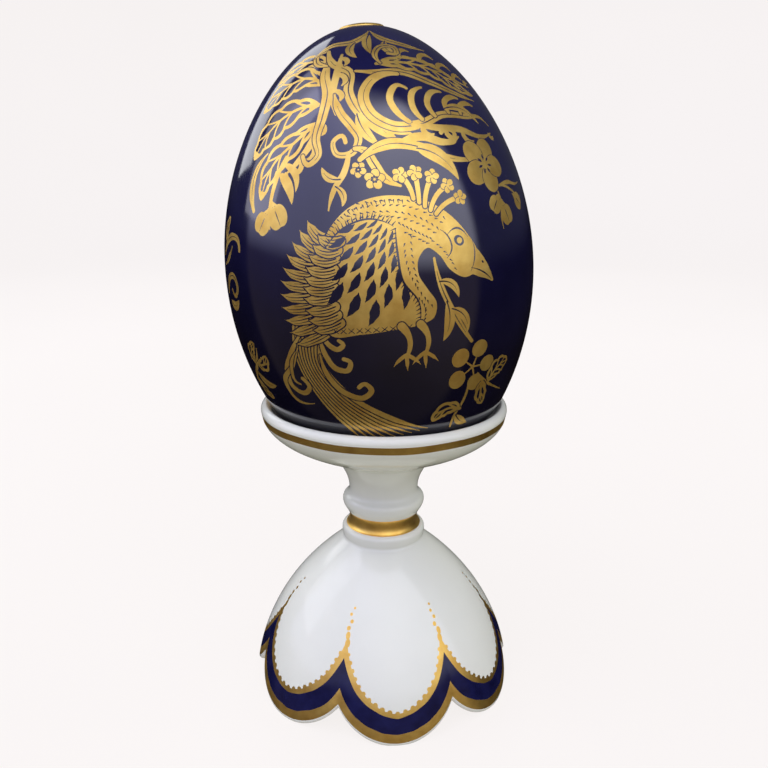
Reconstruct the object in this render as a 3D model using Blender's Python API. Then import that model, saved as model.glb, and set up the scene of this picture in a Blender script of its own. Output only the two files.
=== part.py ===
# Porcelain egg on stand.
# Two pieces: an egg with a low gilt boss at its top, and a white porcelain stand that is one casting,
# from a shallow saucer through a waisted stem to a hollow bell foot with seven petals.
# Units are metres, +Z is up. The origin is the middle of the whole outline, on the surface it stands on.

import math

import bmesh
import bpy
import numpy as np
from mathutils import Matrix, Vector

MM = 0.001

# Egg: widest radius and place, heights above the surface the stand rests on
EGG_RADIUS = 33.7 * MM
EGG_WIDEST_Z = 99.6 * MM
EGG_TOP_Z = 149.6 * MM
EGG_BOTTOM_Z = 57.5 * MM
EGG_TAPER = 0.085
EGG_JOIN_Z = 69.5 * MM
EGG_LEAN = math.radians(-4.52)
EGG_LEAN_HEIGHT = 85.7 * MM
BOSS_RADIUS = 4.75 * MM
BOSS_HEIGHT = 0.45 * MM
EGG_SIDES = 48
EGG_RINGS = 14

# Saucer
RIM_RADIUS = 28.45 * MM
RIM_BEAD = 1.5 * MM
RIM_TOP_Z = 69.7 * MM
RIM_WALL_END = (28.0 * MM, 66.0 * MM)
SAUCER_PULLS = ((25.5 * MM, 60.1 * MM), (14.1 * MM, 57.9 * MM))
WELL_FLOOR_Z = 56.3 * MM
WELL_SIDE_GAP = 0.3 * MM
WELL_ROWS = 5

# Stem: neck, knop, gilt groove and collar
STEM_TOP = (10.85 * MM, 54.85 * MM)
STEM_PULLS = ((9.15 * MM, 52.15 * MM), (8.3 * MM, 50.45 * MM))
WAIST = (8.2 * MM, 47.9 * MM)
WAIST_PULLS = ((8.2 * MM, 45.9 * MM), (9.75 * MM, 46.5 * MM))
KNOP = (9.75 * MM, 44.8 * MM)
KNOP_PULLS = ((9.75 * MM, 43.8 * MM), (9.2 * MM, 43.2 * MM))
KNOP_FOOT = (8.7 * MM, 42.3 * MM)
GROOVE_TOP = (8.3 * MM, 41.6 * MM)
GROOVE_BOTTOM = (8.3 * MM, 38.9 * MM)
COLLAR_PULLS = ((9.2 * MM, 38.9 * MM), (9.95 * MM, 38.4 * MM))
COLLAR = (9.95 * MM, 37.3 * MM)
COLLAR_FOOT_PULLS = ((9.95 * MM, 36.7 * MM), (9.9 * MM, 36.1 * MM))
COLLAR_FOOT = (9.7 * MM, 35.6 * MM)

# Bell foot
# Bearings of the valleys between the petals, from the front round to the right, a little uneven
VALLEYS_DEG = (-19.2, 31.9, 82.6, 134.0, 185.2, 236.0, 285.5)
SIDES_PER_PETAL = 10
BELL_TOP = (9.9 * MM, 34.9 * MM)
BELL_SHOULDER = (20.2 * MM, 27.0 * MM)
BELL_FLANK = (29.6 * MM, 15.6 * MM)
TIP_RADIUS = 31.9 * MM
VALLEY_DEPTH = 1.0 * MM
VALLEY_TOP_Z = 24.3 * MM
VALLEY_FADE = 2.0
NOTCH_HEIGHT = 7.2 * MM
PETAL_ROUNDNESS = 0.95
SCALLOP_ROUNDNESS = 0.77
BELL_WALL = 2.6 * MM
LIP_WALL = 2.0 * MM
FOOT_SINK = 0.6 * MM
LIP_BASE = 0.5 * LIP_WALL - FOOT_SINK
CEILING_Z = 31.2 * MM
BELL_ROWS = 8


def clear_scene():
    for thing in list(bpy.data.objects):
        bpy.data.objects.remove(thing, do_unlink=True)


def material(name, colour, roughness, metallic=0.0):
    made = bpy.data.materials.new(name)
    made.use_nodes = True
    shader = made.node_tree.nodes["Principled BSDF"]
    shader.inputs["Base Color"].default_value = (*colour, 1.0)
    shader.inputs["Roughness"].default_value = roughness
    shader.inputs["Metallic"].default_value = metallic
    return made


def bezier(start, pull_a, pull_b, end, count):
    """Points of a cubic curve after its start, up to and with its end."""
    points = []
    for i in range(1, count + 1):
        t = i / count
        s = 1 - t
        weights = (s**3, 3 * s * s * t, 3 * s * t * t, t**3)
        corners = (start, pull_a, pull_b, end)
        points.append(tuple(sum(w * c[k] for w, c in zip(weights, corners)) for k in range(2)))
    return points


def arc(centre, radius, start_deg, end_deg, count):
    """Points on a circle in the (radius, height) plane, with both ends."""
    angles = [math.radians(start_deg + (end_deg - start_deg) * i / count) for i in range(count + 1)]
    return [(centre[0] + radius * math.cos(a), centre[1] + radius * math.sin(a)) for a in angles]


def egg_upper_radius(z):
    """Radius of the egg from its seat to its top: an ellipse, a little fuller at the middle."""
    u = (z - EGG_WIDEST_Z) / (EGG_TOP_Z - EGG_WIDEST_Z)
    return EGG_RADIUS * math.sqrt(max(0.0, 1 - u * u)) * (1 - EGG_TAPER * u * u)


def egg_blunt_end():
    """The ellipse that closes the egg below its seat: its half width, half height and middle height.

    It meets the upper curve at EGG_JOIN_Z with the same slope and ends at EGG_BOTTOM_Z.
    """
    step = 0.01 * MM
    radius = egg_upper_radius(EGG_JOIN_Z)
    slope = (egg_upper_radius(EGG_JOIN_Z + step) - egg_upper_radius(EGG_JOIN_Z - step)) / (2 * step)
    rise = EGG_JOIN_Z - EGG_BOTTOM_Z
    pull = radius / slope
    offset = rise * rise / (pull - 2 * rise)
    half_height = rise + offset
    half_width = math.sqrt(slope * radius * half_height**2 / offset)
    return half_width, half_height, EGG_BOTTOM_Z + half_height


def egg_profile():
    """(radius, height) from the bottom pole to the top of the boss."""
    half_width, half_height, middle = egg_blunt_end()
    points = [(0.0, EGG_BOTTOM_Z)]
    seat_angle = math.acos((middle - EGG_JOIN_Z) / half_height)
    for i in range(1, 7):
        angle = seat_angle * i / 6
        points.append((half_width * math.sin(angle), middle - half_height * math.cos(angle)))
    top = EGG_TOP_Z - EGG_WIDEST_Z
    first = math.acos((EGG_WIDEST_Z - EGG_JOIN_Z) / top)
    last = math.pi - math.asin(BOSS_RADIUS / EGG_RADIUS / (1 - EGG_TAPER))
    for i in range(1, EGG_RINGS + 1):
        angle = first + (last - first) * i / EGG_RINGS
        z = EGG_WIDEST_Z - top * math.cos(angle)
        points.append((egg_upper_radius(z), z))
    edge = points[-1]
    points.append((edge[0] - 0.1 * MM, edge[1] + 0.75 * BOSS_HEIGHT))
    points.append((edge[0] - 0.5 * MM, edge[1] + BOSS_HEIGHT))
    points.append((0.5 * edge[0], EGG_TOP_Z + 0.6 * BOSS_HEIGHT))
    points.append((0.0, EGG_TOP_Z + BOSS_HEIGHT))
    return points


def make_object(name, vertices, faces, finish, sharp_deg=40):
    mesh = bpy.data.meshes.new(name)
    mesh.from_pydata([tuple(v) for v in vertices], [], faces)
    shape = bmesh.new()
    shape.from_mesh(mesh)
    bmesh.ops.remove_doubles(shape, verts=shape.verts, dist=0.001 * MM)
    bmesh.ops.recalc_face_normals(shape, faces=shape.faces)
    shape.to_mesh(mesh)
    shape.free()
    mesh.shade_smooth()
    mesh.set_sharp_from_angle(angle=math.radians(sharp_deg))
    mesh.materials.append(finish)
    made = bpy.data.objects.new(name, mesh)
    bpy.context.scene.collection.objects.link(made)
    return made


def grid_faces(rows, columns):
    """Faces of a closed grid: rows of the same length, joined round, with a fan over each end."""
    faces = []
    for i in range(rows - 1):
        for j in range(columns):
            k = (j + 1) % columns
            faces.append((i * columns + j, i * columns + k, (i + 1) * columns + k, (i + 1) * columns + j))
    low, high = rows * columns, rows * columns + 1
    for j in range(columns):
        k = (j + 1) % columns
        faces.append((low, k, j))
        faces.append((high, (rows - 1) * columns + j, (rows - 1) * columns + k))
    return faces


def make_egg():
    profile = egg_profile()
    rings = profile[1:-1]
    vertices = []
    for radius, z in rings:
        for j in range(EGG_SIDES):
            angle = 2 * math.pi * j / EGG_SIDES
            vertices.append((radius * math.sin(angle), -radius * math.cos(angle), z))
    vertices.append((0, 0, profile[0][1]))
    vertices.append((0, 0, profile[-1][1]))
    cobalt = material("cobalt_glaze", (0.020, 0.018, 0.085), 0.08)
    egg = make_object("egg", vertices, grid_faces(len(rings), EGG_SIDES), cobalt)
    pivot = Vector((0, 0, EGG_LEAN_HEIGHT))
    egg.data.transform(Matrix.Translation(pivot) @ Matrix.Rotation(EGG_LEAN, 4, "Y") @ Matrix.Translation(-pivot))
    return egg


def upper_profile():
    """(radius, height) of the stand above the bell: from the middle of the well over the rim to the collar's foot."""
    half_width, half_height, middle = egg_blunt_end()
    well_width = half_width + WELL_SIDE_GAP
    well_height = middle - WELL_FLOOR_Z
    bead = (RIM_RADIUS - RIM_BEAD, RIM_TOP_Z - RIM_BEAD)
    inner_z = RIM_TOP_Z - 0.35 * RIM_BEAD
    rim_angle = math.acos((middle - inner_z) / well_height)
    points = []
    for i in range(1, WELL_ROWS + 1):
        angle = rim_angle * i / WELL_ROWS
        points.append((well_width * math.sin(angle), middle - well_height * math.cos(angle)))
    points += arc(bead, RIM_BEAD, 80, -5, 3)
    points.append(RIM_WALL_END)
    points += bezier(RIM_WALL_END, *SAUCER_PULLS, STEM_TOP, 6)
    points += bezier(STEM_TOP, *STEM_PULLS, WAIST, 4)
    points += bezier(WAIST, *WAIST_PULLS, KNOP, 4)
    points += bezier(KNOP, *KNOP_PULLS, KNOP_FOOT, 3)
    points += [GROOVE_TOP, GROOVE_BOTTOM]
    points += bezier(GROOVE_BOTTOM, *COLLAR_PULLS, COLLAR, 3)
    points += bezier(COLLAR, *COLLAR_FOOT_PULLS, COLLAR_FOOT, 2)
    return points


def crest_radius(z):
    """Radius of the bell along the middle of a petal, at a height: read off the bell's curve by halving."""
    low, high = 0.0, 1.0
    tip = (TIP_RADIUS, 0.0)
    for _ in range(40):
        t = 0.5 * (low + high)
        s = 1 - t
        height = s**3 * BELL_TOP[1] + 3 * s * s * t * BELL_SHOULDER[1] + 3 * s * t * t * BELL_FLANK[1]
        if height > z:
            low = t
        else:
            high = t
    return (
        s**3 * BELL_TOP[0] + 3 * s * s * t * BELL_SHOULDER[0] + 3 * s * t * t * BELL_FLANK[0] + t**3 * tip[0]
    )


def round_fall(u, roundness):
    """0 at a petal's middle, 1 at its side, along an arc of a circle."""
    return (1 - math.sqrt(1 - (roundness * u) ** 2)) / (1 - math.sqrt(1 - roundness**2))


def bell_radius(z, u):
    depth = VALLEY_DEPTH * max(0.0, 1 - z / VALLEY_TOP_Z) ** VALLEY_FADE
    return crest_radius(z) - depth * round_fall(u, PETAL_ROUNDNESS)


def bell_columns():
    """(angle, u) of each column: u runs from -1 to 1 across a petal."""
    columns = []
    ends = VALLEYS_DEG[1:] + (VALLEYS_DEG[0] + 360,)
    for start, end in zip(VALLEYS_DEG, ends):
        for i in range(SIDES_PER_PETAL):
            angle = math.radians(start + (end - start) * i / SIDES_PER_PETAL)
            columns.append((angle, -1 + 2 * i / SIDES_PER_PETAL))
    return columns


def bell_outside():
    """Grid of points on the outside of the bell, from under the collar down to the scalloped lip."""
    rows = []
    for i in range(BELL_ROWS + 1):
        share = (i / BELL_ROWS) ** 0.9
        row = []
        for angle, u in bell_columns():
            lip = NOTCH_HEIGHT * round_fall(u, SCALLOP_ROUNDNESS)
            z = BELL_TOP[1] + (LIP_BASE + lip - BELL_TOP[1]) * share
            radius = bell_radius(z, u)
            row.append((radius * math.sin(angle), -radius * math.cos(angle), z))
        rows.append(row)
    return np.array(rows)


def grid_directions(grid):
    """Outward normals and downward tangents of a grid of points that closes round."""
    round_way = np.roll(grid, -1, axis=1) - np.roll(grid, 1, axis=1)
    down_way = np.gradient(grid, axis=0)
    normals = np.cross(down_way, round_way)
    normals /= np.linalg.norm(normals, axis=2, keepdims=True)
    down_way /= np.linalg.norm(down_way, axis=2, keepdims=True)
    return normals, down_way


def make_stand():
    outside = bell_outside()
    normals, down_way = grid_directions(outside)
    count = outside.shape[1]
    angles = [angle for angle, _ in bell_columns()]
    rows = []
    for radius, z in upper_profile():
        rows.append([(radius * math.sin(a), -radius * math.cos(a), z) for a in angles])
    rows += [list(map(tuple, row)) for row in outside]
    middle = outside[-1] - 0.5 * LIP_WALL * normals[-1]
    for turn in (45, 90, 135):
        side = 0.5 * LIP_WALL * math.cos(math.radians(turn))
        drop = 0.5 * LIP_WALL * math.sin(math.radians(turn))
        cap = middle + side * normals[-1] + drop * down_way[-1]
        rows.append([tuple(p) for p in cap])
    for i in range(BELL_ROWS, -1, -1):
        share = i / BELL_ROWS
        wall = BELL_WALL + (LIP_WALL - BELL_WALL) * share**4
        inside = outside[i] - wall * normals[i]
        if inside[:, 2].max() > CEILING_Z:
            break
        rows.append([tuple(p) for p in inside])
    ceiling_radius = 0.45 * min(math.hypot(p[0], p[1]) for p in rows[-1])
    rows.append([(ceiling_radius * math.sin(a), -ceiling_radius * math.cos(a), CEILING_Z) for a in angles])
    vertices = [p for row in rows for p in row]
    vertices.append((0, 0, WELL_FLOOR_Z))
    vertices.append((0, 0, CEILING_Z))
    porcelain = material("white_porcelain", (0.78, 0.79, 0.80), 0.12)
    stand = make_object("stand", vertices, grid_faces(len(rows), count), porcelain)
    rest_on_tips(stand)
    return stand


def rest_on_tips(stand):
    """Grinds the lowest bit of each petal flat, as the bare foot of a fired piece is, and sets it at height 0."""
    lowest = min(v.co.z for v in stand.data.vertices) + FOOT_SINK
    for vertex in stand.data.vertices:
        vertex.co.z = max(vertex.co.z, lowest)


def centre_on_floor(pieces):
    """Moves the pieces together so that their outline is centred on the origin and stands at height 0."""
    corners = np.array([v.co for piece in pieces for v in piece.data.vertices])
    low, high = corners.min(axis=0), corners.max(axis=0)
    for piece in pieces:
        piece.location = (-0.5 * (low[0] + high[0]), -0.5 * (low[1] + high[1]), -low[2])


clear_scene()
centre_on_floor([make_egg(), make_stand()])
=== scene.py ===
import math

import bpy
import numpy as np
from mathutils import Euler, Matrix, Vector
from mathutils.geometry import delaunay_2d_cdt


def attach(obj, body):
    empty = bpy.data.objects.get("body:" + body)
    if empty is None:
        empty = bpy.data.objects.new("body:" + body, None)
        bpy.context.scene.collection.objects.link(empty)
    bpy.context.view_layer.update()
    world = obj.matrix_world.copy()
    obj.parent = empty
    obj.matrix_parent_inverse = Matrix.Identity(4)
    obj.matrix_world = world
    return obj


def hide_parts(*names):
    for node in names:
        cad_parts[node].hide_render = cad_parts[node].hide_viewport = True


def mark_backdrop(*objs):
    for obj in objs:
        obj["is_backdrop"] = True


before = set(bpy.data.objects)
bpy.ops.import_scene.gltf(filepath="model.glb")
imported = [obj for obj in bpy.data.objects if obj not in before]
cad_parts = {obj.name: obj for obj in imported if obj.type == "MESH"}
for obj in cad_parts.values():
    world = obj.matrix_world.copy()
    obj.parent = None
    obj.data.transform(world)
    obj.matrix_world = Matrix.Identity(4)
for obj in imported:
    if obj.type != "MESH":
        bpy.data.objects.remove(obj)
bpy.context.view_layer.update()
MM = 0.001

# Places of the stand's axis and of the height 0 of these sizes in the model's frame
AXIS_X = 1.113
LIFT_Z = 0.176

# Egg
EGG_RADIUS = 33.7
EGG_WIDEST_Z = 99.6
EGG_TOP_Z = 149.6
EGG_BOTTOM_Z = 57.5
EGG_TAPER = 0.085
EGG_JOIN_Z = 69.5
EGG_LEAN = math.radians(-4.52)
EGG_LEAN_HEIGHT = 85.7
EGG_PAINT_END_Z = 63.5
EGG_COLUMNS = 192
EGG_LOW_RINGS = 16
BOSS_RADIUS = 4.75
BOSS_HEIGHT = 0.45
BOSS_EDGE = 0.5
BOSS_FALL = 0.25

# Saucer: radii and heights, and the two heights of its gold line
RIM_RADIUS = 28.45
RIM_BEAD = 1.5
RIM_TOP_Z = 69.7
RIM_LINE = (67.7, 66.05)
RIM_WALL_END = (28.0, 66.0)
WELL_FLOOR_Z = 56.3
WELL_SIDE_GAP = 0.3

# Curves from the saucer's wall down to the bell foot: two pulls and the end of each, and its steps
LOWER_CURVES = (
    ((25.5, 60.1), (14.1, 57.9), (10.85, 54.85), 30),
    ((9.15, 52.15), (8.3, 50.45), (8.2, 47.9), 14),
    ((8.2, 45.9), (9.75, 46.5), (9.75, 44.8), 12),
    ((9.75, 43.8), (9.2, 43.2), (8.7, 42.3), 8),
    ((8.45, 41.9), (8.2, 41.6), (8.12, 40.2), 8),
    ((8.2, 39.2), (8.4, 38.9), (8.75, 38.55), 8),
    ((9.3, 38.4), (9.95, 38.2), (9.95, 37.3), 9),
    ((9.95, 36.7), (9.9, 36.1), (9.7, 35.6), 6),
)

# Where the gold of the rim's line and of the groove lies on that outline: radii and heights
RIM_LINE_REACH = 27.0
GROOVE_Z = (42.2, 38.5)
GROOVE_REACH = 9.0

# Bell foot, from its top down to the tips of the petals
VALLEYS_DEG = (-19.2, 31.9, 82.6, 134.0, 185.2, 236.0, 285.5)
BELL_TOP = (9.9, 34.9)
BELL_SHOULDER = (20.2, 27.0)
BELL_FLANK = (29.6, 15.6)
TIP_RADIUS = 31.9
VALLEY_DEPTH = 1.0
VALLEY_TOP_Z = 24.3
VALLEY_FADE = 2.0
NOTCH_HEIGHT = 7.2
PETAL_ROUNDNESS = 0.95
SCALLOP_ROUNDNESS = 0.77
BELL_WALL = 2.6
LIP_WALL = 2.0
FOOT_SINK = 0.6
CEILING_Z = 31.2
PETALS = len(VALLEYS_DEG)
PETAL_COLUMNS = 40

# Painted lines round the foot: (share of half a petal from its middle, height over the lip)
GOLD_EDGE = ((0, 2.1), (0.3, 2.1), (0.5, 2.3), (0.75, 2.5), (0.9, 2.8), (1, 3.4))
BLUE_EDGE = ((0, 5.5), (0.3, 6.0), (0.5, 6.5), (0.7, 7.2), (0.85, 8.1), (1, 9.3))
PANEL_EDGE = ((0, 6.5), (0.3, 7.1), (0.5, 8.0), (0.7, 9.2), (0.85, 10.6), (1, 12.6))

# Dots along the upper line and up the valleys: their step and radius, and how these change along the row
DOT_STEP = 1.75
DOT_RADIUS = 0.42
DOT_SWELL = 0.16
DOT_UNEVEN = 0.05
VALLEY_DOTS_Z = 19.6
VALLEY_DOT_STEP = 1.35
VALLEY_STEP_FALL = 0.06
VALLEY_DOT_RADIUS = 0.60
VALLEY_RADIUS_FALL = 0.065
VALLEY_DOT_STRETCH = (1.7, 1.7, 1.15, 1.15, 1.15, 1.15)

# Camera: distance in front of the stand's axis, height, downward pitch and roll
CAMERA_BACK = 172.3
CAMERA_HEIGHT = 121.2
CAMERA_PITCH_DEG = 15.62
CAMERA_ROLL_DEG = 0.29
CAMERA_LENS = 36.09
SENSOR_WIDTH = 36.0

# Pale floor and dome, in m
FLOOR_RADIUS = 0.9
COVE_RADIUS = 0.5
DOME_RADIUS = FLOOR_RADIUS + COVE_RADIUS
DOME_FOOT = 0.6
DOME_SIDES = 64
COVE_TURNS = np.radians(range(10, 91, 10))
DOME_TURNS = np.radians(range(0, 86, 10))
FLOOR_GLOW = (0.865, 0.830, 0.818, 1)
BOUNCE_GLOW = (0.60, 0.57, 0.45, 1)
BOUNCE_Z = -0.001

# Colours of the sky from straight down (0) over the horizon (0.5) to straight up (1)
SKY = (
    (0.0, (0.030, 0.025, 0.020)),
    (0.10, (0.048, 0.038, 0.030)),
    (0.30, (0.115, 0.090, 0.062)),
    (0.495, (0.105, 0.085, 0.068)),
    (0.55, (0.98, 0.98, 1.15)),
    (0.72, (1.17, 1.17, 1.37)),
    (0.84, (1.35, 1.35, 1.58)),
    (0.92, (1.70, 1.68, 1.90)),
    (0.955, (1.70, 1.68, 1.90)),
    (0.975, (0.50, 0.50, 0.55)),
    (1.0, (0.38, 0.38, 0.43)),
)

# Changes across the sky: two places on the x or y of a direction, the factors or shares there, and a tint
SKY_FRONT = (-0.20, -0.33, 0.05, 1.0)
SKY_RIGHT = (-0.7, 0.15, 0.72, 1.18)
SKY_LEFT = (0.15, -0.5, 0.0, 1.0)
SKY_LEFT_TINT = (0.91, 0.91, 1.14, 1)

# Lamps: name, bearing from the front and height in degrees, distance and sides in m, brightness, colour,
# whether matt and whether glossy surfaces see it, and its roll in degrees
LAMP_AIM_Z = 0.1
WARM = (1.0, 0.99, 0.96)
LAMPS = (
    ("window", -138, 31, 0.7, (0.24, 0.50), 2.0, (0.95, 0.97, 1.0), True, True, 30),
    ("window_haze", -97, 33, 0.7, (0.43, 0.65), 1.2, (0.92, 0.90, 1.0), False, True, 0),
    ("front_soft", -25, 52, 0.8, (0.5, 0.5), 1.2, (1.0, 0.99, 0.97), True, False, 0),
    ("left_soft", -105, 34, 0.7, (0.5, 0.5), 2.0, WARM, True, False, 0),
    ("right_soft", 105, 28, 0.7, (0.5, 0.5), 2.5, WARM, True, False, 0),
    ("top_soft", -60, 66, 0.7, (0.4, 0.4), 2.6, WARM, True, False, 0),
    ("back_soft", 180, 35, 0.8, (0.5, 0.5), 3.0, WARM, True, False, 0),
)

# Tones of the egg and of the stand, as places in their lists of materials; the egg's third tone is a darker
# gold, as painted shade
COBALT, GOLD, GILT_PAINTED_SHADE = 0, 1, 2
WHITE, RIM_GOLD, BLUE, BARE = 0, 1, 2, 3


# Brushwork. A shape is (tone, outline): the outline is an array of complex numbers, x + iy, in mm on a flat
# sheet or chart, and a later shape covers an earlier one.
EDGE_STEP = 0.4
CURVE_STEPS = 23
ROUND_END_FROM = 0.05
ROUND_END_POINTS = 8


def all_of(*parts):
    return [shape for part in parts for shape in part]


def curve(points, step=EDGE_STEP):
    """A smooth curve through the points, evenly spaced."""
    p = np.array([complex(*q) if isinstance(q, tuple) else q for q in points])
    gaps = np.abs(np.diff(p))
    rates = np.diff(p) / gaps
    slopes = np.empty_like(p)
    slopes[1:-1] = (rates[:-1] * gaps[1:] + rates[1:] * gaps[:-1]) / (gaps[1:] + gaps[:-1])
    slopes[0] = 2 * rates[0] - slopes[1] if len(p) > 2 else rates[0]
    slopes[-1] = 2 * rates[-1] - slopes[-2] if len(p) > 2 else rates[-1]
    t = np.linspace(0, 1, CURVE_STEPS + 1)[:-1]
    fine = []
    for i, gap in enumerate(gaps):
        fine.append(
            (2 * t**3 - 3 * t**2 + 1) * p[i]
            + (t**3 - 2 * t**2 + t) * gap * slopes[i]
            + (3 * t**2 - 2 * t**3) * p[i + 1]
            + (t**3 - t**2) * gap * slopes[i + 1]
        )
    return respace(np.concatenate(fine + [p[-1:]]), step)


def respace(line, step=EDGE_STEP):
    """The same line with evenly spaced points."""
    run = np.concatenate([[0], np.cumsum(np.abs(np.diff(line)))])
    count = max(3, int(round(run[-1] / step)) + 1)
    at = np.linspace(0, run[-1], count)
    return np.interp(at, run, line.real) + 1j * np.interp(at, run, line.imag)


def respace_closed(outline):
    return respace(np.concatenate([outline, outline[:1]]))[:-1]


def part_of(line, start, end):
    """The stretch of a line between two shares of its length."""
    return line[int(start * len(line)): int(end * len(line))]


def along(line):
    """Unit steps along a line."""
    way = np.gradient(line)
    return way / np.maximum(np.abs(way), 1e-9)


def heading(degrees):
    """A unit step that points at an angle."""
    return np.exp(1j * math.radians(degrees))


def spread(values, count):
    """Values eased over a number of places."""
    at = np.linspace(0, len(values) - 1, count)
    i = np.minimum(at.astype(int), len(values) - 2)
    f = at - i
    f = f * f * (3 - 2 * f)
    v = np.array(values, float)
    return v[i] * (1 - f) + v[i + 1] * f


def brush(points, *widths, tone=GOLD):
    """A brush stroke along a line, its widths spread over the length, round where an end has a width."""
    line = points if isinstance(points, np.ndarray) else curve(points)
    half = 0.5 * spread(widths, len(line))
    side = 1j * along(line)

    def cap(i, out):
        if half[i] <= ROUND_END_FROM:
            return np.array([], complex)
        turn = np.exp(1j * np.linspace(0, math.pi, max(3, int(half[i] * ROUND_END_POINTS)) + 2)[1:-1])
        return line[i] - out * half[i] * np.conj(turn)

    left, right = line + half * side, (line - half * side)[::-1]
    return [(tone, np.concatenate([left, cap(-1, -side[-1]), right, cap(0, side[0])]))]


def cut(points, *widths):
    """A dark line drawn into the gilding."""
    return brush(points, *widths, tone=COBALT)


def outlined(shape, gap=0.22):
    """A gold shape with a thin dark line round it, over what lies beneath."""
    tone, outline = shape
    x, y = outline.real, outline.imag
    area = 0.5 * np.sum(x * np.roll(y, -1) - np.roll(x, -1) * y)
    out = -np.sign(area) * 1j * along(np.concatenate([outline[-1:], outline, outline[:1]]))[1:-1]
    return [(COBALT, outline + gap * out), (tone, outline)]


def edged(points, *widths, gap=0.22):
    return outlined(brush(points, *widths)[0], gap)


def engraved(points, *widths, gap=0.24):
    """A broad stroke with a fine dark line along its middle."""
    line = curve(points)
    return edged(line, *widths, gap=0.18) + cut(part_of(line, 0.12, 0.86), 0.08, gap, 0.08)


def oval(middle, radius, squash=1.0, turn_deg=0.0):
    a = np.linspace(0, 2 * math.pi, max(8, int(2 * math.pi * radius / EDGE_STEP)), endpoint=False)
    return middle + (radius * np.cos(a) + 1j * squash * radius * np.sin(a)) * heading(turn_deg)


def disc(middle, radius, tone=GOLD, **shape):
    return [(tone, oval(complex(*middle), radius, **shape))]


def leaf_half_width(line, width, fullest, fullness):
    """Half the width of a leaf along its line, widest at a share of its length."""
    t = np.linspace(0, 1, len(line))
    return 0.5 * width * np.sin(math.pi * t ** (math.log(0.5) / math.log(fullest))) ** fullness


def leaf(points, width, fullest=0.45, vein=True):
    """A pointed leaf along a line, with or without a dark vein."""
    line = curve(points)
    half = leaf_half_width(line, width, fullest, 0.8)
    side = 1j * along(line)
    shapes = [(GOLD, np.concatenate([line + half * side, (line - half * side)[::-1][1:-1]]))]
    return shapes + (cut(part_of(line, 0, 0.8), 0.28, 0.06) if vein else [])


def open_leaf(points, width, rim=0.8, veins=4, fullest=0.42, lobed=0.25):
    """A leaf drawn by its edge, its rib and side veins, dark between them."""
    line = curve(points)
    half = leaf_half_width(line, width, fullest, 0.7)
    way = along(line)
    side = 1j * way
    t = np.linspace(0, 1, len(line))
    wave = 1 + lobed * (np.abs(np.sin(math.pi * (veins + 1) * t)) ** 0.7 - 0.6)
    edges = [line + sign * half * wave * side + 0.25 * half * way for sign in (1, -1)]
    shapes = outlined((GOLD, respace_closed(np.concatenate([edges[0], edges[1][::-1][1:-1]]))), 0.2)
    reach = np.maximum(half * wave - rim, 0.02)
    inner = [part_of(line + sign * reach * side + 0.25 * half * way, 0.1, 0.9) for sign in (1, -1)]
    shapes.append((COBALT, respace_closed(np.concatenate([inner[0], inner[1][::-1]]))))
    shapes += brush(part_of(line, 0, 0.93), 0.8, 0.6, 0.3)
    for k in range(veins):
        i, j = (int(len(line) * (0.14 + 0.68 * (k + ahead) / veins)) for ahead in (0, 0.75))
        for sign in (1, -1):
            reach = half[j] - 0.4 * rim
            if reach > 0.8:
                tip = line[j] + sign * reach * side[j] + 0.25 * half[j] * way[j]
                middle = 0.5 * (line[i] + tip) + 0.15 * reach * way[i]
                shapes += brush([line[i], middle, tip], 0.5, 0.45, 0.4)
    return shapes


def blossom(middle, radius, petals=5, turn_deg=90.0, stamens=True):
    """Round petals close together, with or without dark strokes at their middle."""
    shapes = []
    middle = complex(*middle)
    for k in range(petals):
        turn = turn_deg + 360 * k / petals
        petal = oval(middle + 0.56 * radius * heading(turn), 0.46 * radius, 0.88, turn)
        shapes += outlined((GOLD, petal), 0.14)
    shapes += [(GOLD, oval(middle, 0.2 * radius))]
    strokes = petals + 2 if stamens else 0
    for k in range(strokes):
        way = radius * heading(turn_deg + 30 + 360 * k / strokes)
        shapes += cut([middle + share * way for share in (0.17, 0.25, 0.33)], 0.25, 0.62, 0.3)
    return shapes


def berries(middle, radius, count=5, turn_deg=90.0):
    """Round petals set apart round a small star."""
    shapes = []
    middle = complex(*middle)
    for k in range(count):
        way = radius * heading(turn_deg + 360 * k / count)
        shapes += brush([middle, middle + 0.35 * way, middle + 0.6 * way], 0.5, 0.4, 0.3)
        shapes += [(GOLD, oval(middle + way, 0.5 * radius, 0.92, 40 * k))]
    return shapes


def bud(base, way_deg, size):
    """A heart-shaped bud on a short calyx."""
    base, way = complex(*base), size * heading(way_deg)
    a = np.linspace(-math.pi, math.pi, 40)
    reach = 1 - 0.16 * np.cos(a) ** 8 - 0.1 * np.cos(2 * a)
    shapes = [(GOLD, respace_closed(base + way * (0.95 + reach * (-np.cos(a) * 0.95 + 0.72j * np.sin(a)))))]
    shapes += cut([base + share * way for share in (0.25, 0.9, 1.55)], 0.1, 0.25, 0.08)
    for lean in (-50, 0, 50):
        sepal = way * heading(lean)
        shapes += brush([base - 0.25 * way, base + 0.2 * sepal, base + 0.55 * sepal], 0.3, 0.55, 0.05)
    return shapes


def frond(points, widths, fingers, reach, lean_deg=55, width=1.2, side=1):
    """A stem whose curling fingers leave one side and bend towards its tip."""
    line = curve(points)
    ways = along(line)
    shapes = []
    for t in np.linspace(0.1, 0.95, fingers):
        i = int(t * (len(line) - 1))
        size = reach * math.sin(math.pi * (0.2 + 0.66 * t))
        steps = [line[i]]
        for share, bend in ((0.42, 28), (0.8, 4), (1.0, -22)):
            steps.append(line[i] + share * size * ways[i] * heading(side * (lean_deg + bend)))
        shapes += edged(steps, 0.8 * width, width, width, 0.35 * width, gap=0.18)
    return shapes + brush(line, *widths)


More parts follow.
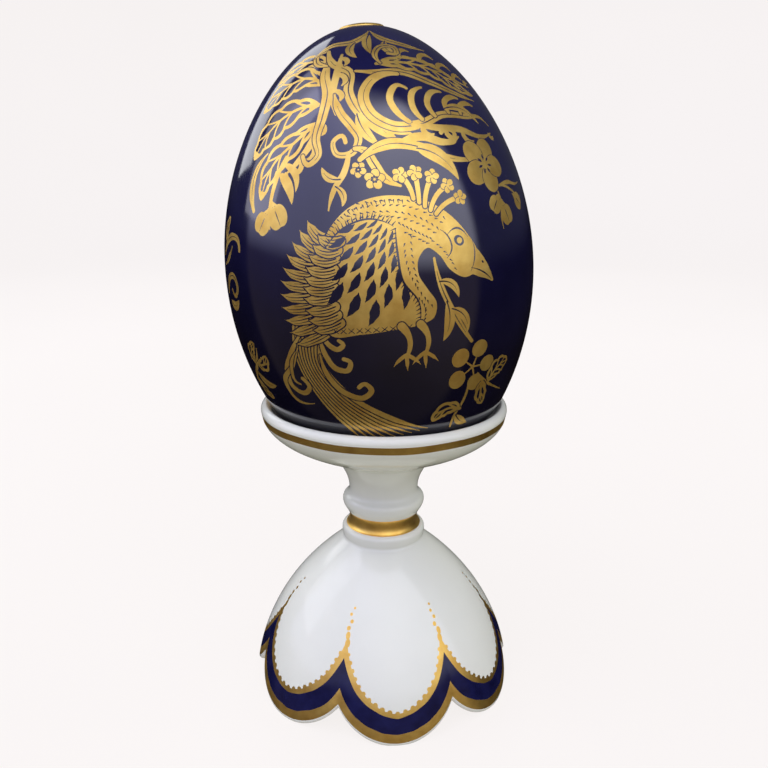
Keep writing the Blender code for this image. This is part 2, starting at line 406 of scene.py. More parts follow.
def feather(base, tip, sag, width):
    """A long pointed feather with a dark quill between two fine lines, its tip curled up."""
    line = curve([base, base + 0.45 * (tip - base) - 1j * sag, base + 0.8 * (tip - base) - 0.8j * sag, tip])
    shapes = edged(line, 0.8 * width, width, 0.8 * width, 0.0, gap=0.26)
    shapes += cut(part_of(line, 0, 0.88), 0.26, 0.24, 0.08)
    for share in (0.25, -0.25):
        beside = line + share * width * 1j * along(line)
        shapes += cut(part_of(beside, 0.06, 0.74 + 0.2 * share), 0.12, 0.2, 0.06)
    return shapes


def slots(outline, centre, radius, rows, step_deg):
    """Dark almond slots between the feathers of a wing: staggered rows that fan out from the shoulder."""
    centre = complex(*centre)
    shapes = []
    for row in range(rows):
        gap = 0.155 * radius + 0.9
        width = 0.5 * radius * math.radians(step_deg)
        for k in range(int(360 / step_deg)):
            way = heading(-(k + 0.5 * (row % 2)) * step_deg)
            spot = centre + radius * way
            ends = np.array([spot - 0.62 * gap * way, spot + 0.62 * gap * way, spot])
            if (winding(outline, ends) != 0).all():
                middle = spot + 0.1j * gap * way
                shapes += cut([ends[0], middle, ends[1]], 0.1, 0.75 * width, width, 0.55 * width, 0.06)
        radius += gap
    return shapes


def ticks(points, count, length, width, lean_deg=90):
    """Short dark strokes set across a line."""
    line = curve(points)
    steps = np.gradient(line)
    shapes = []
    for i in np.linspace(0, len(line) - 1, count).round().astype(int):
        way = steps[i] / abs(steps[i]) * heading(lean_deg)
        shapes += cut([line[i] + share * length * way for share in (0, 0.5, 1)], width, 0.6 * width, 0.05)
    return shapes


def mirrored(shapes):
    return [(tone, -np.conj(outline)) for tone, outline in shapes]


def winding(outline, spots):
    """How often an outline goes round each spot."""
    turns = np.zeros(len(spots), int)
    x0, y0 = outline.real, outline.imag
    x1, y1 = np.roll(x0, -1), np.roll(y0, -1)
    sx, sy = spots.real, spots.imag
    for i in range(len(outline)):
        up = (y0[i] <= sy) & (y1[i] > sy)
        down = (y0[i] > sy) & (y1[i] <= sy)
        hit = up | down
        if hit.any():
            cross = (x1[i] - x0[i]) * (sy[hit] - y0[i]) - (sx[hit] - x0[i]) * (y1[i] - y0[i])
            turns[hit] += np.where(up[hit], cross > 0, 0) - np.where(down[hit], cross < 0, 0)
    return turns


# Painting on the front of the egg, in mm on a flat sheet with its middle at the widest height

# The bird: closed outlines, the edge of its wing, the ends of its long feathers and of its crest
BIRD_SIDE = (
    (-9.8, 9.2), (-8, 12.2), (-4.4, 15.4), (0.5, 17), (5.5, 17), (10.4, 15.8), (14.8, 13.2), (18.2, 9.8),
    (20.6, 6.2), (20.8, 2.8), (17.4, 1.2), (14, 3), (11.8, 6), (9.6, 7.4), (7.8, 5.6), (7.6, 2.8),
    (9.2, -0.2), (10.8, -3), (10.2, -5.6), (6.8, -6.8), (2, -7.2), (-4, -7.7), (-9.6, -7.8), (-11.8, -4),
    (-11.2, 3), (-9.8, 9.2),
)
BEAK = ((19.6, 7.4), (22, 5), (23.8, 2.2), (24.7, -0.6), (22.8, 0.2), (20.4, 1), (18.6, 2), (19.6, 7.4))
WING = (
    (-9.2, 8.8), (-5.4, 12.2), (-0.4, 13.4), (3.8, 11.4), (4, 6.4), (4.6, 1.8), (7.4, -2.6), (7.2, -5.6),
    (0, -6), (-8.8, -6.4), (-10.8, -2), (-10.2, 4), (-9.2, 8.8),
)
WING_FRONT = ((3.9, 11.2), (4, 6.4), (4.6, 1.8), (7.4, -2.6), (7.4, -6))
QUILLS = ((-8, 10.4), (-9.4, 7), (-10.2, 2.6), (-10.4, -2), (-9.2, -6.4))
QUILL_TIPS = ((-12.4, 14.2), (-16.6, 10), (-19.6, 4.2), (-20.4, -2.4), (-17.8, -10.2))
QUILL_COUNT = 21
CREST_TIPS = ((-2.2, 4.4), (-0.4, 5.5), (1.8, 5.6), (3.9, 4.7), (5.5, 3.2))

# Tail: points of its outer feather, the way from there to the inner one, the curls and the hooks beside them
TAIL_COUNT = 9
TAIL_OUTER = ((-17.4, -5), (-17.6, -14), (-13.6, -22.2), (-9, -28.4), (-5.8, -32.6))
TAIL_ACROSS = ((6.4, -2.2), (5.2, 1.2), (5.4, 2.4), (8.6, 2.4), (13.6, 1.6))
TAIL_CURLS = (
    (
        (0.5, 1.2, 1.4, 1.2, 1.0),
        ((-16.5, -8), (-19.6, -12.8), (-21.4, -17.2), (-20.6, -21), (-17.6, -22), (-16, -19.9),
         (-17.4, -18.2)),
    ),
    (
        (0.3, 1.0, 1.3, 0.9, 0.2),
        ((-17.5, -11), (-19.4, -15.2), (-22.6, -20.2), (-20.2, -24.6), (-15.4, -24.2)),
    ),
    (
        (0.2, 0.8, 0.8, 0.5),
        ((-18.2, -12), (-20.0, -16.6), (-19.4, -19.4), (-18.2, -19.8)),
    ),
)
TAIL_HOOKS = (
    (1.3, ((-12.4, -12), (-11, -17), (-7.8, -20.4), (-4.4, -21.2), (-2.8, -19.4), (-4, -18), (-5.2, -18.8))),
    (1.2, ((-12, -8), (-11.2, -12), (-9.2, -14.8), (-7, -15), (-6.4, -13.2), (-7.6, -12.6))),
    (1.1, ((-11.4, -7), (-10.4, -9.6), (-8.6, -10.6), (-7.4, -9.6), (-8.2, -8.8))),
)

# Rows of feather marks: on the neck as (x, step, y, step) for side by side rows, on the breast as points
NECK_ROW = ((-4.6, 0.1, 13.6, 0.75), (0.6, 0, 14, 0.75), (6.2, 0.2, 13.2, 0.9), (11.4, 0.6, 10.6, 0.75))
NECK_MARKS = (6, 9, 15, 15, 15, 13)
BREAST_ROWS = (
    (13, ((5.4, 8.4), (5.8, 4), (7.6, -0.2), (9.8, -3.2))),
    (8, ((6.6, 9.8), (6.6, 5.6), (7.2, 1.6))),
    (7, ((7.4, -1.6), (8.6, -3.8), (8.4, -5.6))),
    (8, ((10.6, 8.6), (13, 6.4), (15, 3.2))),
)

# Curling fingers along the large scroll
SCROLL_FINGERS = (
    ((8, 31.2), (5.6, 33.4), (4.6, 36.2), (6.4, 39.2), (8, 38.6)),
    ((10.6, 32), (8.9, 34.6), (9.2, 38), (11, 39.4)),
    ((13.4, 33.2), (12, 36), (13.2, 38.8), (15.4, 39.6)),
    ((16.8, 34.8), (16, 37), (17.6, 39), (19.8, 39.6)),
    ((20, 35.6), (20, 37.4), (21.8, 39.2), (24.4, 39.8)),
)


def bird_tail():
    shapes = []
    for f in np.linspace(0, 1, TAIL_COUNT):
        points = [(x + dx * f, y + dy * f) for (x, y), (dx, dy) in zip(TAIL_OUTER, TAIL_ACROSS)]
        shapes += edged(points, 0.8, 1.1, 1.15, 1.25, 0.2, gap=0.26)
    for widths, points in TAIL_CURLS:
        shapes += edged(points, *widths)
    for width, points in TAIL_HOOKS:
        shapes += edged(points, 0.4, 0.9 * width, width, 0.9 * width, 0.7 * width)
    return shapes


def bird_body():
    """Two rows of long feathers that fan out behind the wing, the inner row over the body's side."""
    quills, tips = curve(QUILLS), curve(QUILL_TIPS)
    fan = []
    for f in np.linspace(1, 0, QUILL_COUNT):
        fan.append((quills[int(f * (len(quills) - 1))], tips[int(f * (len(tips) - 1))], f))
    shapes = all_of(*(feather(base, tip, 1.5 - f, 2.3) for base, tip, f in fan[::2]))
    shapes += outlined((GOLD, curve(BIRD_SIDE)[:-1]), 0.3)
    for base, tip, f in fan[1::2]:
        shapes += feather(base + 2.2, base + 0.42 * (tip - base), 0.9 - 0.5 * f, 2.2)
    return shapes


def bird_head():
    return all_of(
        # Beak
        outlined((GOLD, curve(BEAK)[:-1]), 0.0),
        cut([(24.2, -0.1), (21.6, 1.9), (18.8, 2.9)], 0.1, 0.32, 0.1),
        cut([(19.4, 8.4), (19.9, 5.4), (18.7, 2.2)], 0.08, 0.3, 0.08),
        disc((21.9, 3.8), 0.34, COBALT, squash=0.6, turn_deg=-45),
        # Eye and cheek
        disc((16.3, 8.4), 1.2, COBALT, squash=0.8, turn_deg=-35),
        disc((16.4, 8.4), 0.62),
        cut([(13.8, 9.6), (15.8, 10.8), (18.4, 9)], 0.1, 0.38, 0.1),
        cut([(13.4, 5.2), (14.6, 7), (14, 9.2), (12.4, 10.6)], 0.1, 0.34, 0.3, 0.1),
    )


def bird_wing():
    """Slots between the wing's feathers, its ribbed front edge and its barred shoulder."""
    return all_of(
        slots(curve(WING), (6, 16.4), 7.4, 7, 10.5),
        cut(WING_FRONT, 0.15, 0.42, 0.42, 0.3, 0.15),
        ticks(WING_FRONT, 24, 1.0, 0.3, lean_deg=-70),
        cut([(-9.2, 8.6), (-5.4, 12), (-0.4, 13.2), (3.6, 11.6)], 0.1, 0.34, 0.34, 0.1),
        ticks([(-9, 8.9), (-5.4, 12.2), (-0.4, 13.5), (3.4, 11.9)], 22, 0.95, 0.28, lean_deg=80),
        ticks([(-8.8, 11.4), (-4.8, 14.6), (0.5, 16.2), (5.5, 16.2)], 20, 0.7, 0.26, lean_deg=-80),
    )


def bird_marks():
    """Feather marks on neck, cheek and breast."""
    shapes = []
    for k, count in enumerate(NECK_MARKS):
        off = 1.25 * (k - 2.5)
        row = [(x + dx * off, y + dy * off) for x, dx, y, dy in NECK_ROW]
        if k < 2:
            row = row[2:] if k == 0 else [(4.6, 12.2)] + row[2:]
        shapes += ticks(row, count, 0.62, 0.3, lean_deg=-24 if k % 2 else 24)
    for k, (count, row) in enumerate(BREAST_ROWS):
        shapes += ticks(row, count, 0.62, 0.28, lean_deg=25 if k % 2 else -25)
    return shapes


def bird_crest():
    shapes = []
    for k, (dx, dy) in enumerate(CREST_TIPS):
        x, y = 7.6 + 1.05 * k, 16.4 - 0.72 * k
        shapes += edged([(x, y), (x + 0.4 * dx, y + 0.62 * dy), (x + dx, y + dy)], 0.8, 0.9, 1.0)
        shapes += blossom((x + dx, y + dy), 1.5, 5, 40 * k, stamens=False)
    return shapes


def bird_belly():
    """Crossed hatching along the belly."""
    shapes = []
    for k in range(10):
        x = -9.2 + 1.55 * k
        for a, b in ((x, x + 1.1), (x + 1.1, x)):
            shapes += cut([(a, -7.4 + 0.02 * k), (0.5 * (a + b), -6.9), (b, -6.4)], 0.16, 0.16, 0.08)
    return shapes


def bird_legs():
    shapes = []
    for dx in (0, 3.6):
        shapes += edged([(3.8 + dx, -6.6), (5.2 + dx, -9.6), (4.4 + dx, -12.8)], 1.6, 1.0, 0.7)
        for tx, ty in ((1.8, -14.6), (4.4, -15.8), (7, -14.8)):
            knuckle = (0.5 * (4.4 + tx) + dx, 0.5 * (ty - 12.4) + 0.3)
            shapes += brush([(4.4 + dx, -12.4), knuckle, (tx + dx, ty)], 0.8, 0.75, 0.1)
    return shapes


def front_right():
    return all_of(
        # Flowering twig under the head
        engraved([(10.8, 5.4), (11.8, 0.4), (14.4, -5.6), (18.4, -12.4)], 0.5, 1.2, 1.2, 0.8),
        leaf([(12.9, -3), (13.4, -6.6), (11.8, -10.8)], 2.3),
        leaf([(14, -4.6), (16.6, -6.4), (17.4, -10)], 1.9),
        leaf([(11.6, 1), (14, 0.4), (15.6, -2.6)], 1.6),
        berries((18.6, -18.6), 4.3, 5, 62),
        brush([(20, -21), (22.6, -24.4), (26.6, -28.6), (29, -31)], 0.7, 0.8, 0.5, 0.3),
        open_leaf([(23.4, -25), (26.6, -22.4), (31, -22.6)], 5.2, veins=3),
        open_leaf([(21.6, -23.4), (21.2, -26.8), (22, -31)], 3.6, veins=2),
        brush([(17.6, -22.8), (16.4, -26.4), (14, -30), (13, -33)], 0.6, 0.7, 0.7, 0.5),
        open_leaf([(15.4, -28.6), (12.2, -27.2), (8.8, -29.6)], 3.6, veins=2),
        leaf([(14.4, -30), (15.6, -32.6), (17.4, -34.4)], 2.2),
        # Branch with a blossom and buds
        engraved([(-1.6, 24), (3.5, 26.6), (9.5, 26.2), (15, 24.6), (20.6, 24.9)], 0.9, 2.1, 1.9, 1.4, 0.9),
        leaf([(9, 25.9), (13.8, 24.4), (17.4, 20.2)], 3.2, fullest=0.35),
        brush(
            [(6, 27.2), (10.5, 28.3), (14.6, 27.7), (17.3, 28.6), (17.4, 30.3), (15.4, 30.6), (14.3, 29.6)],
            0.6, 1.7, 1.7, 1.3, 1.0, 0.9,
        ),
        blossom((25.2, 24.8), 6.4, 5, 78),
        brush([(29.6, 20.6), (34.2, 22.4), (38.4, 23), (42, 24.6)], 0.6, 1.1, 0.8, 0.2),
        brush([(30.4, 20.8), (34.2, 20.8), (37.4, 20)], 0.5, 0.7, 0.6),
        bud((36.2, 19.4), -22, 3.0),
        brush([(28.8, 19), (29.6, 15.8), (29.2, 13), (29.6, 10.6)], 0.5, 0.8, 0.7, 0.2),
        bud((28.6, 18), -122, 2.6),
        bud((30.2, 16.6), -64, 3.1),
    )


def front_left():
    return all_of(
        # Drooping twig with heart buds
        brush([(-16.4, 27.4), (-19.6, 22.6), (-21.2, 18.2), (-21.6, 13.6)], 0.8, 1.1, 0.9, 0.3),
        leaf([(-18.2, 24.4), (-16.2, 21.4), (-15.6, 17.6)], 2.2, fullest=0.4, vein=False),
        leaf([(-17, 26), (-14.6, 23.8), (-14.6, 19.8)], 1.6, fullest=0.4, vein=False),
        bud((-22, 17.4), -128, 3.1),
        bud((-20.4, 18.6), -70, 3.2),
    )


def top_bracket():
    return all_of(
        engraved([(-9.6, 49.8), (-6, 52), (-2, 51.6), (1.6, 56.4)], 0.4, 1.5, 1.7, 0.2),
        engraved([(13.2, 52), (8.2, 51.6), (4.4, 52.6), (1.8, 56.4)], 0.3, 1.5, 1.7, 0.2),
        leaf([(1.6, 54.4), (1, 51), (1.8, 47.2)], 1.9),
        leaf([(-1.2, 51.4), (-2.4, 49.2), (-1, 46.4)], 1.7),
        leaf([(4.6, 51.8), (4.8, 49), (7.4, 47.2)], 1.9),
    )


def middle_stem():
    """Lines that wind down to a volute, with leaves."""
    return all_of(
        engraved(
            [(-6.6, 50.2), (-5.8, 46), (-2.6, 42.6), (-2.9, 37.8), (-0.8, 32.8), (4.8, 28.6)],
            0.8, 1.7, 1.8, 1.9, 1.7, 0.3,
        ),
        frond([(-3.9, 48), (-5, 43), (-6, 38), (-5.4, 33.6)], (0.6, 1.5, 1.5, 0.8), 4, 3.0, width=1.1),
        engraved(
            [(-5.6, 38), (-4.6, 33.6), (-2.8, 30.6), (-1.6, 28), (-3, 25.4), (-5.8, 25.6), (-6.2, 28.2),
             (-4.6, 29), (-4, 27.6)],
            0.4, 1.5, 1.7, 1.5, 1.3, 1.1, 0.9, 0.8, gap=0.18,
        ),
        leaf([(-1, 35.2), (1.2, 31.2), (5.6, 27.4)], 2.6),
        leaf([(0.4, 33.4), (3.2, 30.6), (8.4, 28.8)], 2.4),
        leaf([(-1.6, 33), (-0.4, 29.4), (2.2, 26.4)], 2.0),
        engraved(
            [(-2.4, 26.2), (-0.6, 25.6), (0.8, 23.2), (2.4, 20.6), (5.4, 18.8)],
            0.8, 1.7, 1.8, 1.5, 0.5,
        ),
        brush([(-3.6, 25.2), (-4.6, 22), (-6.6, 19.2), (-8, 15.4)], 0.9, 1.2, 1.0, 0.3),
        leaf([(-5.4, 20.8), (-7.6, 21.4), (-8.8, 23.6)], 1.5),
        leaf([(-6.4, 19.6), (-5, 17.6), (-5.4, 15.8)], 1.3),
        blossom((0.8, 20.2), 1.9, 5, 10),
        blossom((-2, 22.2), 1.5, 5, 50),
    )


def large_scroll():
    """A scroll to the right with curling fingers."""
    return all_of(
        engraved(
            [(-1.4, 42.8), (2.4, 42.2), (7.4, 42.6), (13.4, 41.4), (20, 41), (26, 42.4)],
            0.6, 1.6, 1.7, 1.5, 1.2, 0.2,
        ),
        engraved(
            [(6.4, 42), (1.8, 40.6), (-0.2, 36.8), (1, 32.8), (5, 30.2), (10.4, 31), (15, 33.8), (21.4, 35.4),
             (26.8, 37.4), (29.8, 36.6)],
            1.0, 1.9, 2.1, 2.1, 2.0, 1.8, 1.6, 1.4, 1.0, 0.3,
        ),
        *(edged(points, 0.9, 1.3, 1.3, 0.6, gap=0.18) for points in SCROLL_FINGERS),
        frond(
            [(8.6, 30.6), (13.6, 30.6), (19, 31.4), (25.4, 31.6), (29.8, 34.4)],
            (0.8, 1.5, 1.5, 1.1, 0.3), 5, 3.4, side=-1, width=1.2,
        ),
        leaf([(15.4, 35.2), (20.2, 37), (25.6, 35)], 1.8),
    )


def over_scroll():
    """A leaf and scallops over the large scroll."""
    return all_of(
        open_leaf([(2.6, 44.4), (8, 45.4), (14.4, 45.4), (20.4, 43.8), (26.4, 44.6)], 4.6, veins=6),
        frond(
            [(5.4, 46.2), (10, 47.2), (15.4, 46.8), (21.2, 46), (25.6, 47.4)],
            (0.5, 1, 1, 0.3), 5, 4.4, width=1.2, lean_deg=62,
        ),
        engraved(
            [(3.4, 44.6), (2.4, 47.2), (3.8, 49.8), (6.4, 49.8), (6.6, 47.8), (5, 47.6)],
            0.5, 1.2, 1.2, 1.1, 0.8,
        ),
    )


def front_acanthus():
    return all_of(
        open_leaf([(-7, 46.2), (-10.4, 49), (-15, 49.8), (-20.2, 48.6)], 4.4, veins=3),
        open_leaf([(-7.6, 40.6), (-11.4, 44.4), (-17, 45), (-24.4, 42.4)], 6.6, fullest=0.5),
        open_leaf([(-9, 32.8), (-14.2, 30), (-20, 26.8), (-24, 20)], 5.6, fullest=0.5),
        open_leaf([(-8.4, 36.4), (-13.4, 37.2), (-20, 35.8), (-26.6, 30.4)], 7.0, fullest=0.5),
        engraved([(-21.6, 30), (-25.4, 27.4), (-27.2, 22.4), (-26.6, 18.4)], 0.4, 1.6, 2.0, 1.0),
        frond(
            [(-8.4, 33.4), (-10.2, 29.4), (-13.4, 26), (-17.4, 23.6)],
            (1, 1.6, 1.2, 0.3), 4, 3.2, width=1.15, lean_deg=40,
        ),
        engraved(
            [(-6.2, 47.6), (-7.4, 43.4), (-7, 38.6), (-8.2, 33.6), (-9.6, 29.4), (-9.4, 25.8),
             (-11.6, 24.6), (-12.6, 26.6)],
            0.8, 2.0, 2.2, 2.0, 1.6, 1.2, 0.8,
        ),
        engraved(
            [(-6.8, 45.8), (-9.2, 47.8), (-9, 50.4), (-6.8, 50.4), (-6.6, 48.8)],
            0.6, 1.3, 1.2, 1.0, 0.7,
        ),
    )


def front_edges():
    return all_of(
        engraved(
            [(-47.6, 10.4), (-43, 13.6), (-38.2, 14.4), (-34.4, 12.6), (-34, 10.2)],
            0.8, 2.0, 2.2, 1.7, 1.0,
        ),
        engraved([(-46.8, 7.4), (-42.2, 9), (-38.6, 11.8)], 0.6, 1.5, 0.4),
        open_leaf([(-44.6, 13.8), (-43.2, 17.4), (-39.4, 20)], 3.6, veins=2),
        engraved(
            [(-46.6, -1.4), (-42.8, 3.6), (-38.6, 3.6), (-37.2, 0.6), (-39.6, -1.6), (-41.6, 0)],
            0.8, 2.0, 1.9, 1.5, 1.2, 1.0,
        ),
        leaf([(-44.8, -3.4), (-40.8, -4.6), (-37.2, -2.4)], 2.8),
        brush([(-37, -27), (-35.4, -22.6), (-33.6, -19.6), (-32, -14.4)], 0.6, 1.3, 1.1, 0.4),
        open_leaf([(-34.4, -20), (-35.4, -16.4), (-32.6, -13.2)], 3.6, veins=2),
        open_leaf([(-33.4, -19.2), (-30, -18.4), (-28.2, -15.2)], 3.8, veins=2),
        leaf([(-35.2, -22.6), (-30.6, -24.4), (-26.4, -23.2)], 2.6),
        open_leaf([(-36.2, -25.6), (-33, -28.4), (-29, -28.6)], 3.6, veins=2),
    )


def front_painting():
    scrolls = all_of(top_bracket(), middle_stem(), large_scroll(), over_scroll())
    ornament = all_of(front_acanthus(), scrolls, front_left(), front_right(), front_edges())
    bird = all_of(bird_tail(), bird_body(), bird_head(), bird_wing(), bird_marks())
    return all_of(ornament, bird, bird_crest(), bird_belly(), bird_legs())


# Painting on the sides and the back


def side_spray():
    """A plain rising stem with blossoms, buds and leaves."""
    return all_of(
        engraved([(1.5, -19), (-1.6, -11), (1.2, -2), (-1.8, 7), (0.6, 15)], 0.4, 1.5, 1.6, 1.3, 0.5),
        open_leaf([(-1.6, -11.6), (-5.4, -9.4), (-9.8, -10.6), (-12.4, -14.8)], 5.0),
        open_leaf([(-0.8, -8.4), (4, -7.6), (8.6, -9.6), (11.2, -14)], 4.8),
        open_leaf([(0.8, -0.6), (-4.4, 1.6), (-8.6, 0.4), (-11.6, -3.6)], 4.6),
        leaf([(1, -16.4), (3.6, -18.6), (7.6, -18.6)], 2.2),
        brush([(0.9, -3.6), (4.8, -0.6), (8.2, 0.2)], 0.7, 0.9, 0.7),
        blossom((9, 0.6), 5.0, 5, 60),
        leaf([(-1.6, 6), (2.6, 8), (6.4, 7.6)], 2.4),
        brush([(-1.7, 6.6), (-5, 9.2), (-7.4, 9.8)], 0.7, 0.8, 0.6),
        bud((-7.2, 9.8), 165, 3.0),
        leaf([(-0.6, 10.4), (3.6, 12.4), (5, 16.2)], 2.2),
        bud((0.6, 15), 85, 3.2),
    )


def back_bouquet():
    shapes = engraved([(0, -20), (1.4, -12), (-0.6, -4), (0, 3)], 0.4, 1.6, 1.7, 0.8)
    half = open_leaf([(1, -12.6), (5.6, -11), (10.4, -12.6), (14, -17.6)], 5.2)
    half += open_leaf([(0, -6), (5.6, -5.4), (11.6, -3.2), (15.2, 2.4)], 5.4)
    half += brush([(0.4, -2), (4.6, 3), (8.2, 8.4)], 0.8, 1.0, 0.7)
    half += leaf([(3.6, 1.6), (7.6, 1.8), (11, 5.2)], 2.4)
    half += bud((8.2, 8.4), 52, 3.4)
    half += leaf([(0.6, -16.4), (4, -19), (8.4, -20)], 2.4)
    half += frond(
        [(1, 9.4), (3.6, 13), (8.6, 15.4), (13.4, 14.4)],
        (0.6, 1.3, 1.1, 0.3), 4, 3.6, side=-1, width=1.0,
    )
    shapes += half + mirrored(half) + blossom((0, 4.4), 6.2, 5, 90)
    return shapes


def crown_leaf():
    """A short acanthus bracket that hangs from the top of the egg."""
    shapes = open_leaf([(0, 8), (0.6, 3), (0, -6.4)], 5.6, veins=4)
    half = engraved([(0.6, 6.4), (4.4, 6.6), (7, 3.6), (5.6, 0.6), (3.4, 1.6)], 0.6, 1.5, 1.6, 1.2, 0.8)
    half += leaf([(5.8, 5), (8.6, 4.8), (10.6, 2)], 2.0)
    return shapes + half + mirrored(half)


def low_sprig():
    shapes = engraved([(-9, -1), (-4, 1.2), (2, -1), (8, 1.6)], 0.3, 1.2, 1.2, 0.4)
    for k in range(4):
        x = -6.6 + 3.6 * k
        shapes += leaf([(x, 0.4 - 0.6 * (k % 2)), (x + 1.4, 2.8), (x + 4.0, 3.8)], 1.8)
        shapes += leaf([(x + 1.0, -0.2), (x + 2.8, -2.4), (x + 5.2, -2.8)], 1.7)
    return shapes


def side_painting():
    shapes = all_of(
        on_egg(back_bouquet(), 180, 101),
        on_egg(side_spray(), 106, 98),
        on_egg(mirrored(side_spray()), 254, 98),
    )
    for azimuth in (112, 180, 248):
        shapes += on_egg(crown_leaf(), azimuth, 136, size=0.9)
    for azimuth in (90, 142, 218, 270):
        shapes += on_egg(low_sprig(), azimuth, 74)
    for azimuth in (143, 217):
        shapes += on_egg(low_sprig(), azimuth, 121, turn_deg=90, size=0.7)
    return shapes


def egg_painting():
    """All shapes on the egg's chart, drawn in to the edge of its painted part."""
    edge = float(EGG.chart_radius(EGG_PAINT_END_Z)) * GRID_EDGE
    kept = []
    for tone, outline in on_egg(front_painting()) + side_painting():
        far = np.abs(outline)
        if far.min() < edge:
            kept.append((tone, outline * np.minimum(1, edge / np.maximum(far, 1e-9))))
    return kept


# Outlines and their flat charts. A grid of spots keeps off a chart's edge and has its rings a step apart.
GRID_EDGE = 0.985
RING_STEP = 0.9
RING_LEAST = 0.6
MERGE_GAP = 1e-4
EGG_STEPS = 6000
EGG_STEP_GROWTH = 1.5
BLUNT_STEPS = 400
CREST_STEPS = 2999
POLE_ANGLE = 0.02


def bezier(start, pull_a, pull_b, end, count):
    """Points, without the first, along a curve between two points that two others pull."""
    t = np.linspace(0, 1, count + 1)[1:, None]
    s = 1 - t
    a, b, c, d = (np.array(p) for p in (start, pull_a, pull_b, end))
    return s**3 * a + 3 * s * s * t * b + 3 * s * t * t * c + t**3 * d


class Turned:
    """A turned outline from its upper end down, with a flat chart that keeps the form of small shapes.

    A point's reach is the logarithm of its distance from the chart's middle, and grows by step / radius."""

    def __init__(self, radii, heights, one_at):
        self.r, self.z = radii, heights
        step = np.hypot(np.diff(self.r), np.diff(self.z))
        grown = np.concatenate([[0], np.cumsum(step * 2 / (self.r[1:] + self.r[:-1]))])
        self.reach = grown - np.interp(-one_at, -self.z, grown)

    def at(self, w):
        """(radius, height, angle) for points of the chart, angle 0 on the right as seen from the front."""
        grown = np.log(np.maximum(np.abs(w), 1e-9))
        return np.interp(grown, self.reach, self.r), np.interp(grown, self.reach, self.z), np.angle(w)

    def chart_radius(self, z):
        return np.exp(np.interp(-np.asarray(z, float), -self.z, self.reach))

    def place(self, w):
        r, z, a = self.at(w)
        return np.stack([r * np.cos(a), r * np.sin(a), z], -1)

    def grid(self, start, end, spacing, fewest):
        """Spots about evenly spaced on the surface, in staggered rings from one reach to another."""
        rings = []
        while start < end:
            r = np.interp(start, self.reach, self.r)
            count = max(fewest, int(2 * math.pi * r / spacing))
            a = 2 * math.pi * (np.arange(count) + 0.5 * (len(rings) % 2)) / count
            rings.append(math.exp(start) * np.exp(1j * a))
            start += RING_STEP / max(r, RING_LEAST)
        return np.concatenate(rings)


def egg_radius(z):
    u = (z - EGG_WIDEST_Z) / (EGG_TOP_Z - EGG_WIDEST_Z)
    return EGG_RADIUS * np.sqrt(np.maximum(0.0, 1 - u * u)) * (1 - EGG_TAPER * u * u)


def egg_blunt_end():
    """Half width, half height and middle height of the ellipse that closes the egg in the saucer."""
    step = 0.01
    radius = egg_radius(EGG_JOIN_Z)
    slope = (egg_radius(EGG_JOIN_Z + step) - egg_radius(EGG_JOIN_Z - step)) / (2 * step)
    rise = EGG_JOIN_Z - EGG_BOTTOM_Z
    offset = rise * rise / (radius / slope - 2 * rise)
    half_height = rise + offset
    return math.sqrt(slope * radius * half_height**2 / offset), half_height, EGG_BOTTOM_Z + half_height


def egg_outline():
    top = EGG_TOP_Z - EGG_WIDEST_Z
    last = math.acos((EGG_JOIN_Z - EGG_WIDEST_Z) / top)
    t = last * np.linspace(0, 1, EGG_STEPS + 1) ** EGG_STEP_GROWTH
    t[0] = 1e-5
    z = EGG_WIDEST_Z + top * np.cos(t)
    r = EGG_RADIUS * np.sin(t) * (1 - EGG_TAPER * np.cos(t) ** 2)
    half_width, half_height, middle = egg_blunt_end()
    seat = math.acos((middle - EGG_JOIN_Z) / half_height)
    b = np.linspace(seat, POLE_ANGLE, BLUNT_STEPS)[1:]
    return np.concatenate([r, half_width * np.sin(b)]), np.concatenate([z, middle - half_height * np.cos(b)])


EGG = Turned(*egg_outline(), EGG_WIDEST_Z)
EGG_SHEET = 2 * EGG_RADIUS
CREST = bezier(BELL_TOP, BELL_SHOULDER, BELL_FLANK, (TIP_RADIUS, 0.0), CREST_STEPS)
BELL = Turned(*np.concatenate([[BELL_TOP], CREST]).T, 0.0)
BELL_SHEET = 30.0


def on_egg(shapes, azimuth_deg=0.0, z=EGG_WIDEST_Z, turn_deg=0.0, size=1.0):
    """Lays a flat sheet on the egg's chart, its middle at an azimuth and height and its y axis to the top."""
    anchor = EGG.chart_radius(z) * np.exp(1j * (math.radians(azimuth_deg) - math.pi / 2))
    scale = EGG_SHEET / 2 * (1 + abs(anchor) ** 2) * np.interp(-z, -EGG.z, EGG.r) / EGG_RADIUS / abs(anchor)
    turn = 1j * anchor / abs(anchor) * heading(turn_deg)
    laid = []
    for tone, outline in shapes:
        local = size * outline * turn / scale
        laid.append((tone, (local + anchor) / (1 - np.conj(anchor) * local)))
    return laid


